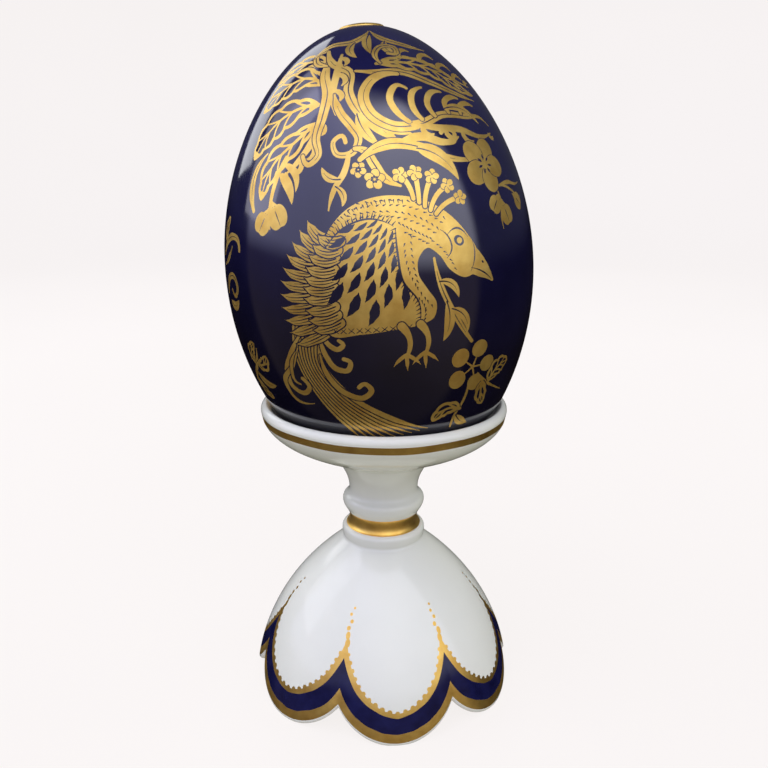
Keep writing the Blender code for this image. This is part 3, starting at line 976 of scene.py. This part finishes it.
# Cutting a chart along painted edges, and the mesh that grows from it
def cut_chart(loops, shapes, grid, unit):
    """Triangles inside a chart's first loop and outside its second, each with the tone that covers it."""
    points, edges = [], []
    for outline in loops + [outline for _, outline in shapes]:
        start, count = len(points), len(outline)
        points.extend(outline)
        edges.extend((start + i, start + (i + 1) % count) for i in range(count))
    points.extend(grid)
    points = [Vector((p.real * unit, p.imag * unit)) for p in points]
    found, _, triangles, origins, _, _ = delaunay_2d_cdt(points, edges, [], 0, MERGE_GAP)
    spots = np.array([complex(v.x, v.y) for v in found]) / unit
    triangles = np.array([tuple(t) for t in triangles])
    middles = spots[triangles].mean(axis=1)
    tones = np.zeros(len(triangles), int)
    for tone, outline in shapes:
        near = np.flatnonzero(
            (middles.real > outline.real.min()) & (middles.real < outline.real.max())
            & (middles.imag > outline.imag.min()) & (middles.imag < outline.imag.max())
        )
        if len(near):
            tones[near[winding(outline, middles[near]) != 0]] = tone
    keep = winding(loops[0], middles) != 0
    for hole in loops[1:]:
        keep &= winding(hole, middles) == 0
    made_from = {source: i for i, sources in enumerate(origins) for source in sources}
    places, start = [], 0
    for loop in loops:
        places.append([made_from[start + i] for i in range(len(loop))])
        start += len(loop)
    return spots, triangles[keep], tones[keep], places


def chart_normals(place, w, step):
    """Outward normals, from small steps on the chart."""
    n = np.cross(*(place(w * (1 + s)) - place(w * (1 - s)) for s in (step, 1j * step)))
    return n / np.maximum(np.linalg.norm(n, axis=-1, keepdims=True), 1e-12)


class Skin:
    """A closed mesh that starts as the triangles of a chart and goes on in rings."""

    def __init__(self, vertices, normals, triangles, tones):
        self.vertices, self.normals = list(vertices), list(normals)
        self.faces, self.tones = [tuple(t) for t in triangles], list(tones)

    def add_ring(self, old, vertices, normals, tone, flip=False):
        """Joins a new ring to an old one and returns it."""
        new = list(range(len(self.vertices), len(self.vertices) + len(vertices)))
        self.vertices.extend(vertices)
        self.normals.extend(normals)
        for j in range(len(old)):
            face = old[j - 1], new[j - 1], new[j], old[j]
            self.faces.append(face[::-1] if flip else face)
            self.tones.append(tone)
        return new

    def add_rows(self, ring, rows, tones, flip=False):
        """Joins rows of points to a ring, one after another, and returns the last."""
        whole = np.array([[self.vertices[i] for i in ring], *rows])
        across = np.roll(whole, -1, axis=1) - np.roll(whole, 1, axis=1)
        n = np.cross(np.gradient(whole, axis=0), across) * (-1 if flip else 1)
        n /= np.maximum(np.linalg.norm(n, axis=2, keepdims=True), 1e-12)
        for vertices, normals, tone in zip(whole[1:], n[1:], tones):
            ring = self.add_ring(ring, vertices, normals, tone, flip)
        return ring

    def close(self, ring, vertex, normal, tone, flip=False):
        """Joins a ring to one point in its middle."""
        pole = len(self.vertices)
        self.vertices.append(np.array(vertex))
        self.normals.append(np.array(normal))
        for j in range(len(ring)):
            self.faces.append((ring[j - 1], ring[j], pole) if flip else (ring[j - 1], pole, ring[j]))
            self.tones.append(tone)

    def make(self, name, finishes):
        """The object, without vertices that no face uses."""
        used = sorted({i for face in self.faces for i in face})
        new = {old: i for i, old in enumerate(used)}
        faces = [tuple(new[i] for i in face) for face in self.faces]
        mesh = bpy.data.meshes.new(name)
        mesh.from_pydata((np.array(self.vertices)[used] * MM).tolist(), [], faces)
        for finish in finishes:
            mesh.materials.append(finish)
        mesh.polygons.foreach_set("material_index", np.array(self.tones, np.int32))
        mesh.shade_smooth()
        mesh.validate()
        mesh.normals_split_custom_set_from_vertices(np.array(self.normals)[used].tolist())
        return placed(name, mesh)


def placed(name, data):
    """A new object in the scene."""
    made = bpy.data.objects.new(name, data)
    bpy.context.scene.collection.objects.link(made)
    return made


# Materials. The colours change over a stretch of height, in m: painted shade makes the cobalt glaze darker
# below its stretch, and painted light makes the gilding redder and brighter below its stretch.
COBALT_PAINTED_SHADE_Z = (0.085, 0.125)
GILT_PAINTED_LIGHT_Z = (0.085, 0.115)


class Graph:
    """Helpers for the nodes of a material or of the sky."""

    def __init__(self, owner):
        owner.use_nodes = True
        self.nodes, self.links = owner.node_tree.nodes, owner.node_tree.links

    def new(self, kind):
        return self.nodes.new("ShaderNode" + kind)

    def feed(self, node, inputs):
        """Sets inputs of a node to values, or links them to the outputs of others."""
        for socket, value in inputs.items():
            if isinstance(value, bpy.types.NodeSocket):
                self.links.new(value, node.inputs[socket])
            else:
                node.inputs[socket].default_value = value

    def axes(self, coordinates):
        split = self.new("SeparateXYZ")
        self.feed(split, {0: self.new("TexCoord").outputs[coordinates]})
        return split.outputs

    def ramp(self, value, stops):
        node = self.new("ValToRGB")
        while len(node.color_ramp.elements) < len(stops):
            node.color_ramp.elements.new(0.5)
        for element, (place, colour) in zip(node.color_ramp.elements, stops):
            element.position = place
            element.color = (*colour, 1)
        self.feed(node, {"Fac": value})
        return node.outputs["Color"]

    def range(self, value, from_low, from_high, low, high, ease="LINEAR"):
        node = self.new("MapRange")
        node.interpolation_type = ease
        ends = {"From Min": from_low, "From Max": from_high, "To Min": low, "To Max": high}
        self.feed(node, {"Value": value, **ends})
        return node.outputs["Result"]

    def mix(self, share, first, second, blend="MIX"):
        node = self.new("Mix")
        node.data_type = "RGBA"
        node.blend_type = blend
        self.feed(node, {"Factor": share, 6: first, 7: second})
        return node.outputs[2]

    def maths(self, operation, *values):
        node = self.new("Math")
        node.operation = operation
        self.feed(node, dict(enumerate(values)))
        return node.outputs[0]


class Finish(Graph):
    """A material whose colour, roughness and surface vary a little from place to place."""

    def __init__(self, name, colour, roughness, sockets=None):
        self.material = bpy.data.materials.new(name)
        super().__init__(self.material)
        self.shader = self.nodes["Principled BSDF"]
        self.feed(self.shader, {"Base Color": (*colour, 1), "Roughness": roughness, **(sockets or {})})

    def noise(self, scale, detail, roughness=0.5):
        node = self.new("TexNoise")
        place = self.new("TexCoord").outputs["Object"]
        self.feed(node, {"Vector": place, "Scale": scale, "Detail": detail, "Roughness": roughness})
        return node.outputs["Fac"]

    def mottled(self, noise, dark, light):
        return self.ramp(noise, ((0.3, dark), (0.7, light)))

    def by_height(self, low, high, below, above):
        """One colour below a height and another above, with a soft change between."""
        return self.mix(self.range(self.axes("Object")["Z"], low, high, 0, 1), below, above)

    def cover(self, colour, roughness=None, bump=None):
        """Feeds the shader: roughness by scale, detail, low, high, bump by scale, detail, mm, strength."""
        self.feed(self.shader, {"Base Color": colour})
        if roughness:
            scale, detail, low, high = roughness
            self.feed(self.shader, {"Roughness": self.range(self.noise(scale, detail), 0.3, 0.7, low, high)})
        if bump:
            scale, detail, depth, strength = bump
            node = self.new("Bump")
            height = self.noise(scale, detail)
            self.feed(node, {"Height": height, "Distance": depth * MM, "Strength": strength})
            self.feed(self.shader, {"Normal": node.outputs["Normal"]})
        return self.material


def cobalt_glaze():
    finish = Finish("cobalt_glaze", (0.006, 0.0055, 0.030), 0.08, {"IOR": 1.6, "Specular IOR Level": 0.88})
    cloud = finish.noise(70, 4)
    below = finish.mottled(cloud, (0.0025, 0.0022, 0.008), (0.005, 0.0042, 0.014))
    above = finish.mottled(cloud, (0.005, 0.005, 0.032), (0.009, 0.0085, 0.050))
    # Darker and greyer below the stretch of height: painted shade on the lower egg
    colour = finish.by_height(*COBALT_PAINTED_SHADE_Z, below, above)
    return finish.cover(colour, (160, 2, 0.07, 0.12), (90, 2, 0.05, 0.25))


def gilding(name, bright=1.0, metallic=0.95):
    """Gold with a fine grain, a little redder and brighter low down on the egg as painted light."""
    finish = Finish(name, (0.83, 0.60, 0.24), 0.38, {"Metallic": metallic})
    grain = finish.noise(260, 5, 0.6)
    tones = []
    for pair in (((0.80, 0.47, 0.095), (1.0, 0.68, 0.17)), ((0.73, 0.46, 0.095), (0.97, 0.69, 0.185))):
        tones.append(finish.mottled(grain, *([bright * c for c in colour] for colour in pair)))
    # Redder and brighter below the stretch of height: painted light on the low gilding
    colour = finish.by_height(*GILT_PAINTED_LIGHT_Z, *tones)
    return finish.cover(colour, (420, 3, 0.33, 0.45), (1400, 2, 0.02, 0.25))


def white_glaze():
    softness = {"Subsurface Weight": 0.08, "Subsurface Scale": 0.002, "Subsurface Radius": (1.0, 0.8, 0.7)}
    finish = Finish("white_glaze", (0.80, 0.81, 0.82), 0.10, {"Specular IOR Level": 0.5, **softness})
    colour = finish.mottled(finish.noise(45, 4), (0.595, 0.608, 0.553), (0.643, 0.656, 0.596))
    return finish.cover(colour, (120, 2, 0.07, 0.16), (110, 3, 0.06, 0.3))


def blue_paint():
    finish = Finish("blue_paint", (0.006, 0.006, 0.036), 0.14, {"Specular IOR Level": 0.4})
    colour = finish.mottled(finish.noise(300, 4), (0.004, 0.004, 0.027), (0.008, 0.009, 0.052))
    return finish.cover(colour, bump=(110, 3, 0.06, 0.3))


def bare_biscuit():
    finish = Finish("bare_porcelain", (0.70, 0.69, 0.67), 0.6)
    colour = finish.mottled(finish.noise(500, 4), (0.62, 0.61, 0.59), (0.76, 0.75, 0.73))
    return finish.cover(colour, bump=(2500, 3, 0.03, 0.4))


# The egg
EGG_SPACING = 1.0
EGG_FEWEST = 6
EGG_NORMAL_STEP = 2e-4
LOW_RING_EASE = 0.8
# The boss's rings: gold, then a thin ring of darker gold near its edge as painted shade, then gold again
BOSS_RINGS = ((GOLD, 1.0), (GILT_PAINTED_SHADE, 0.93), (GOLD, 0.88))
BOSS_GRID = (0.995, 0.985, 0.97, 0.955, 0.94, 0.9)


def boss_lift(r):
    """Rise of the boss over the egg: a low button with a rounded edge, a little higher in the middle."""
    inside = np.clip((BOSS_RADIUS - r) / BOSS_EDGE, 0, 1)
    dome = 1 - BOSS_FALL * np.clip(r / BOSS_RADIUS, 0, 1) ** 2
    return BOSS_HEIGHT * np.sqrt(np.maximum(0, 1 - (1 - inside) ** 2)) * dome


def leaned(p):
    """Points of the upright egg, as it leans in its saucer."""
    c, s = math.cos(EGG_LEAN), math.sin(EGG_LEAN)
    x, z = p[..., 0], p[..., 2] - EGG_LEAN_HEIGHT
    return np.stack([c * x + s * z + AXIS_X, p[..., 1], EGG_LEAN_HEIGHT - s * x + c * z + LIFT_Z], -1)


def egg_place(w):
    p = EGG.place(w)
    p[..., 2] += boss_lift(np.hypot(p[..., 0], p[..., 1]))
    return leaned(p)


def egg_skin(w):
    return egg_place(w), chart_normals(egg_place, w, EGG_NORMAL_STEP)


def make_egg(shapes):
    edge = float(EGG.chart_radius(EGG_PAINT_END_Z))
    angles = 2 * math.pi * np.arange(EGG_COLUMNS) / EGG_COLUMNS
    around = np.exp(1j * angles)
    widest = int(np.argmax(EGG.r))
    boss = float(np.exp(np.interp(BOSS_RADIUS, EGG.r[:widest], EGG.reach[:widest])))
    shapes = shapes + [(tone, boss * share * around) for tone, share in BOSS_RINGS]
    grid = [EGG.grid(EGG.reach[5], math.log(edge * GRID_EDGE), EGG_SPACING, EGG_FEWEST)]
    grid += [boss * share * around[::2] for share in BOSS_GRID]
    spots, triangles, tones, (ring,) = cut_chart([edge * around], shapes, np.concatenate(grid), EGG_SHEET)
    skin = Skin(*egg_skin(spots), triangles, tones)
    for share in np.linspace(0, 1, EGG_LOW_RINGS + 2)[1:-1] ** LOW_RING_EASE:
        z = EGG_PAINT_END_Z - (EGG_PAINT_END_Z - EGG_BOTTOM_Z) * share
        ring = skin.add_ring(ring, *egg_skin(float(EGG.chart_radius(z)) * around), COBALT)
    bottom = leaned(np.array([0, 0, EGG_BOTTOM_Z]))
    skin.close(ring, bottom, (-math.sin(EGG_LEAN), 0, -math.cos(EGG_LEAN)), COBALT)
    # The darker gilding is painted shade, at 0.6 of the gold's colour
    finishes = [cobalt_glaze(), gilding("gilding", 1.0, 0.88), gilding("gilding_painted_shade", 0.6, 0.88)]
    return skin.make("painted_egg", finishes)


# The stand
VALLEYS = np.radians(np.array(VALLEYS_DEG + (VALLEYS_DEG[0] + 360,)))
BELL_SPACING = 1.1
BELL_FEWEST = 40
BELL_NORMAL_STEP = 4e-4
BORDER_COLUMNS = 96
HALF_PETAL = 13
BORDER = ((BLUE, GOLD_EDGE, 0.06), (RIM_GOLD, BLUE_EDGE, 0.05), (WHITE, PANEL_EDGE, 0.04))
VALLEY_GAPS = (-0.012, -0.03, -0.06, 0.012, 0.03, 0.06)
ALONG_VALLEY_Z = np.arange(8.6, VALLEY_TOP_Z, 0.5)
BESIDE_VALLEY_Z = np.arange(9.5, VALLEY_TOP_Z - 4, 0.6)
LIP_OVERLAP = 1.02
GRID_START = 1.03
DOT_SIDES = 14
WELL_EDGE_DROP = 0.35
WELL_LEVELS = np.linspace(0.02, 1, 26)
BEAD_TURNS = np.radians(np.linspace(82, -3, 12))
RIM_WAVES = ((0.05, 5, 0), (0.04, 11, 1))
LIP_TURNS = np.radians(np.linspace(15, 180, 12))
LIP_TONES = [WHITE] * 2 + [BARE] * 8 + [WHITE] * 2
LIP_STEP = 2e-3
INSIDE_LEVELS = np.linspace(1, 0.13, 26)[1:]
CEILING_MARGIN = 0.4
CEILING_RINGS = (0.8, 0.5, 0.2)


def petal_share(angle):
    """-1 to 1 across the petal that an angle of the chart falls in."""
    bearing = VALLEYS[0] + (angle + math.pi / 2 - VALLEYS[0]) % (2 * math.pi)
    turn = np.interp(bearing, VALLEYS, np.arange(PETALS + 1.0))
    return 2 * (turn - np.floor(turn)) - 1


def petal_columns(count):
    """Chart angles and petal shares of columns round the foot, as many on each petal."""
    k = np.arange(PETALS * count)
    angles = np.interp(k / count, np.arange(PETALS + 1.0), VALLEYS) - math.pi / 2
    return angles, (k % count) * 2 / count - 1


def round_fall(u, roundness):
    return (1 - np.sqrt(1 - (roundness * u) ** 2)) / (1 - math.sqrt(1 - roundness**2))


def lip_height(u):
    return 0.5 * LIP_WALL - FOOT_SINK + NOTCH_HEIGHT * round_fall(u, SCALLOP_ROUNDNESS)


def bell_place(w):
    r, z, a = BELL.at(w)
    depth = VALLEY_DEPTH * np.maximum(0.0, 1 - z / VALLEY_TOP_Z) ** VALLEY_FADE
    r = r - depth * round_fall(petal_share(a) * 0.985, PETAL_ROUNDNESS)
    return np.stack([r * np.cos(a) + AXIS_X, r * np.sin(a), z + LIFT_Z], -1)


def bell_skin(w):
    return bell_place(w), chart_normals(bell_place, w, BELL_NORMAL_STEP)


def ring_at(angles, r, z):
    return np.stack([r * np.cos(angles) + AXIS_X, r * np.sin(angles), np.full(len(angles), z) + LIFT_Z], -1)


def bell_loop(marks, wobble):
    """A closed line round the bell through the same marks on each petal, a little uneven."""
    line = curve([(HALF_PETAL * share, rise) for share, rise in marks])
    angles, u = petal_columns(BORDER_COLUMNS)
    rise = np.interp(np.abs(u) * HALF_PETAL, line.real, line.imag)
    rise = rise + wobble * (np.sin(23 * angles + 1.0) + 0.7 * np.sin(57 * angles))
    return BELL.chart_radius(lip_height(u) + rise) * np.exp(1j * angles)


def dot(spot, across, upward):
    """A gold dot on the bell's chart, its two half widths in mm."""
    a = 2 * math.pi * np.arange(DOT_SIDES) / DOT_SIDES
    return RIM_GOLD, spot * (1 + (upward * np.cos(a) + 1j * across * np.sin(a)) / BELL.at(spot)[0])


def bell_painting(lip):
    """From the lip up: plain gold, a blue border, a dotted gold line, and white with dots up the valleys."""
    shapes = [(RIM_GOLD, lip * LIP_OVERLAP)]
    for tone, marks, wobble in BORDER:
        inner = bell_loop(marks, wobble)
        shapes.append((tone, inner))
    for petal in range(PETALS):
        line = inner[petal * BORDER_COLUMNS + 4: (petal + 1) * BORDER_COLUMNS - 3]
        run = np.concatenate([[0], np.cumsum(np.linalg.norm(np.diff(BELL.place(line), axis=0), axis=1))])
        count = int(run[-1] // DOT_STEP)
        for k in range(count + 1):
            at = run[-1] * k / count
            size = DOT_RADIUS + DOT_SWELL * math.sin(math.pi * k / count)
            size += DOT_UNEVEN * math.sin(7.3 * k + petal)
            shapes.append(dot(np.interp(at, run, line.real) + 1j * np.interp(at, run, line.imag), size, size))
        z = VALLEY_DOTS_Z
        for k, stretch in enumerate(VALLEY_DOT_STRETCH):
            angle = VALLEYS[petal] - math.pi / 2 + 0.012 * math.sin(z * 3 + petal)
            size = VALLEY_DOT_RADIUS - VALLEY_RADIUS_FALL * k
            shapes.append(dot(BELL.chart_radius(z) * np.exp(1j * angle), size, size * stretch))
            z += VALLEY_DOT_STEP - VALLEY_STEP_FALL * k
    return shapes


def bell_grid(top):
    """Spots over the bell, and rows of them along each valley and beside it."""
    spots = BELL.grid(math.log(top), BELL.reach[-1], BELL_SPACING, BELL_FEWEST)
    edge = BELL.chart_radius(lip_height(petal_share(np.angle(spots))))
    rows = [spots[(np.abs(spots) < edge * GRID_EDGE) & (np.abs(spots) > top * GRID_START)]]
    along, beside = BELL.chart_radius(ALONG_VALLEY_Z), BELL.chart_radius(BESIDE_VALLEY_Z)
    for valley in VALLEYS[:-1] - math.pi / 2:
        rows.append(along * np.exp(1j * valley))
        rows += [beside * np.exp(1j * (valley + gap)) for gap in VALLEY_GAPS]
    return np.concatenate(rows)


def upper_rows():
    """(radius, height, tone of the strip below it) from the middle of the well to the collar's foot."""
    half_width, _, middle = egg_blunt_end()
    well_width, well_height = half_width + WELL_SIDE_GAP, middle - WELL_FLOOR_Z
    rim_angle = math.acos((middle - (RIM_TOP_Z - WELL_EDGE_DROP * RIM_BEAD)) / well_height)
    points = []
    for a in rim_angle * WELL_LEVELS:
        points.append((well_width * math.sin(a), middle - well_height * math.cos(a)))
    for a in BEAD_TURNS:
        points.append((RIM_RADIUS + RIM_BEAD * (math.cos(a) - 1), RIM_TOP_Z + RIM_BEAD * (math.sin(a) - 1)))
    (wall_r, wall_z), (foot_r, foot_z) = points[-1], RIM_WALL_END
    for z in (*RIM_LINE, foot_z):
        points.append((wall_r + (wall_z - z) / (wall_z - foot_z) * (foot_r - wall_r), z))
    start = RIM_WALL_END
    for pull_a, pull_b, end, count in LOWER_CURVES:
        points += list(bezier(start, pull_a, pull_b, end, count))
        start = end
    rows = []
    for (r, z), (_, below) in zip(points, points[1:] + [BELL_TOP]):
        halfway = 0.5 * (z + below)
        in_line = RIM_LINE[1] - 0.01 < halfway < RIM_LINE[0] + 0.01 and r > RIM_LINE_REACH
        in_groove = GROOVE_Z[1] < halfway < GROOVE_Z[0] and r < GROOVE_REACH
        rows.append((r, z, RIM_GOLD if in_line or in_groove else WHITE))
    return rows


def lip_rows(lip):
    """Rows round the lip, cut flat where the foot stands."""
    outside, n = bell_skin(lip)
    down = outside - bell_place(lip * (1 - LIP_STEP))
    down -= (down * n).sum(-1, keepdims=True) * n
    down /= np.linalg.norm(down, axis=-1, keepdims=True)
    rows = []
    for turn in LIP_TURNS:
        row = outside + 0.5 * LIP_WALL * ((math.cos(turn) - 1) * n + math.sin(turn) * down)
        row[:, 2] = np.maximum(row[:, 2], 0.0)
        rows.append(row)
    return rows


def inside_rows(angles, shares):
    """Rows up the inside of the bell and in under its ceiling."""
    rows = []
    for share in INSIDE_LEVELS:
        z = BELL_TOP[1] + (lip_height(shares) - BELL_TOP[1]) * share
        outside, n = bell_skin(BELL.chart_radius(z) * np.exp(1j * angles))
        row = outside - (BELL_WALL + (LIP_WALL - BELL_WALL) * share**4) * n
        if row[:, 2].max() > CEILING_Z - CEILING_MARGIN:
            break
        rows.append(row)
    reach = min(np.hypot(rows[-1][:, 0] - AXIS_X, rows[-1][:, 1]))
    return rows + [ring_at(angles, reach * share, CEILING_Z - 0.5 * share**3) for share in CEILING_RINGS]


def make_stand():
    angles, shares = petal_columns(PETAL_COLUMNS)
    lip = BELL.chart_radius(lip_height(shares)) * np.exp(1j * angles)
    top = float(BELL.chart_radius(BELL_TOP[1]))
    loops, shapes = [lip, top * np.exp(1j * angles)], bell_painting(lip)
    spots, triangles, tones, (lip_ring, top_ring) = cut_chart(loops, shapes, bell_grid(top), BELL_SHEET)
    skin = Skin(*bell_skin(spots), triangles, tones)

    # Up from the bell's top to the middle of the well, the gold line of the rim a little uneven
    wave = sum(height * np.sin(waves * angles + shift) for height, waves, shift in RIM_WAVES)
    rows, tones = [], []
    for r, z, tone in reversed(upper_rows()):
        rows.append(ring_at(angles, r, z + wave if z in RIM_LINE else z))
        tones.append(tone)
    ring = skin.add_rows(top_ring, rows, tones, flip=True)
    skin.close(ring, (AXIS_X, 0, WELL_FLOOR_Z + LIFT_Z), (0, 0, 1), WHITE, flip=True)

    # Round the lip and up the inside of the bell
    inside = inside_rows(angles, shares)
    ring = skin.add_rows(lip_ring, lip_rows(lip) + inside, LIP_TONES + [WHITE] * len(inside))
    skin.close(ring, (AXIS_X, 0, CEILING_Z + LIFT_Z), (0, 0, -1), WHITE)
    return skin.make("gilt_stand", [white_glaze(), gilding("rim_gilding"), blue_paint(), bare_biscuit()])


# Floor, light and camera
def make_floor():
    """A pale round floor that rises all round into a pale dome, seen by the camera only."""
    rings = [(FLOOR_RADIUS, 0.0)]
    rings += [(FLOOR_RADIUS + COVE_RADIUS * math.sin(a), COVE_RADIUS * (1 - math.cos(a))) for a in COVE_TURNS]
    rings += [(DOME_RADIUS * math.cos(a), DOME_FOOT + DOME_RADIUS * math.sin(a)) for a in DOME_TURNS]
    angles = 2 * math.pi * np.arange(DOME_SIDES) / DOME_SIDES
    vertices = [(0, 0, 0)] + [(r * math.cos(a), r * math.sin(a), z) for r, z in rings for a in angles]
    vertices.append((0, 0, DOME_FOOT + DOME_RADIUS))
    faces = []
    for j in range(DOME_SIDES):
        k = (j + 1) % DOME_SIDES
        faces.append((0, 1 + j, 1 + k))
        for low in range(1, 1 + (len(rings) - 1) * DOME_SIDES, DOME_SIDES):
            faces.append((low + j, low + DOME_SIDES + j, low + DOME_SIDES + k, low + k))
        last = 1 + (len(rings) - 1) * DOME_SIDES
        faces.append((last + j, len(vertices) - 1, last + k))
    mesh = bpy.data.meshes.new("floor")
    mesh.from_pydata(vertices, [], faces)
    mesh.shade_smooth()
    glow = {"Emission Color": FLOOR_GLOW, "Emission Strength": 1.0, "Specular IOR Level": 0.0}
    finish = Finish("pale_floor", (0.07, 0.07, 0.07), 0.9, glow)
    mesh.materials.append(finish.cover(finish.mottled(finish.noise(3, 2), (0.065,) * 3, (0.075,) * 3)))
    floor = placed("floor", mesh)
    floor.visible_glossy = floor.visible_diffuse = floor.visible_shadow = floor.visible_transmission = False
    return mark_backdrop(floor)


def make_bounce():
    """A dim card under the floor that only throws a little warm light back up on the matt side of things."""
    mesh = bpy.data.meshes.new("bounce_card")
    corners = (-1, -1), (1, -1), (1, 1), (-1, 1)
    mesh.from_pydata([(x, y, BOUNCE_Z) for x, y in corners], [], [(0, 1, 2, 3)])
    glow = {"Emission Color": BOUNCE_GLOW, "Emission Strength": 1.0}
    mesh.materials.append(Finish("bounce_card", (0.02, 0.02, 0.02), 1.0, glow).material)
    card = placed("bounce_card", mesh)
    card.visible_camera = card.visible_glossy = False
    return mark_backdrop(card)


def make_sky():
    """Soft light from in front and above, dark below and dim behind."""
    world = bpy.data.worlds.new("studio")
    bpy.context.scene.world = world
    graph = Graph(world)
    x, y, z = graph.axes("Generated")
    front = graph.maths("MULTIPLY_ADD", graph.maths("MINIMUM", x, 0.0), 0.6, y)
    front = graph.range(front, *SKY_FRONT, "SMOOTHSTEP")
    right = graph.range(x, *SKY_RIGHT, "SMOOTHSTEP")
    left = graph.range(x, *SKY_LEFT, "SMOOTHSTEP")
    colour = graph.ramp(graph.maths("MULTIPLY_ADD", z, 0.5, 0.5), SKY)
    colour = graph.mix(left, colour, SKY_LEFT_TINT, "MULTIPLY")
    strength = graph.maths("MULTIPLY", front, right)
    graph.feed(graph.nodes["Background"], {"Color": colour, "Strength": strength})


def make_lamp(name, bearing_deg, height_deg, distance, size, brightness, colour, matt, gloss, roll_deg):
    """A soft panel that faces the egg, seen by matt surfaces, by glossy ones or by both."""
    lamp = bpy.data.lights.new(name, "AREA")
    lamp.shape = "RECTANGLE"
    lamp.size, lamp.size_y = size
    lamp.energy = brightness * math.pi * size[0] * size[1]
    lamp.color = colour
    made = placed(name, lamp)
    made.visible_diffuse, made.visible_glossy = matt, gloss
    a, e = math.radians(bearing_deg), math.radians(height_deg)
    way = Vector((math.sin(a) * math.cos(e), -math.cos(a) * math.cos(e), math.sin(e)))
    made.location = Vector((0, 0, LAMP_AIM_Z)) + distance * way
    roll = Euler((0, 0, math.radians(roll_deg))).to_matrix()
    made.rotation_euler = (way.to_track_quat("Z", "Y").to_matrix() @ roll).to_euler()


def make_camera():
    data = bpy.data.cameras.new("camera")
    data.sensor_width = SENSOR_WIDTH
    data.lens = CAMERA_LENS
    data.clip_start = 0.01
    camera = placed("camera", data)
    camera.location = (AXIS_X * MM, -CAMERA_BACK * MM, (CAMERA_HEIGHT + LIFT_Z) * MM)
    tilt = Euler((math.radians(90 - CAMERA_PITCH_DEG), 0, 0)).to_matrix()
    roll = Euler((0, 0, math.radians(CAMERA_ROLL_DEG))).to_matrix()
    camera.rotation_euler = (tilt @ roll).to_euler()
    bpy.context.scene.camera = camera


egg = make_egg(egg_painting())
stand = make_stand()
for piece, node, slot in ((egg, "egg", "cobalt_egg"), (stand, "stand", "white_porcelain")):
    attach(piece, "root")
    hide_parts(node)
make_floor()
make_bounce()
make_sky()
for lamp in LAMPS:
    make_lamp(*lamp)
make_camera()
bpy.context.scene.view_settings.view_transform = "Standard"
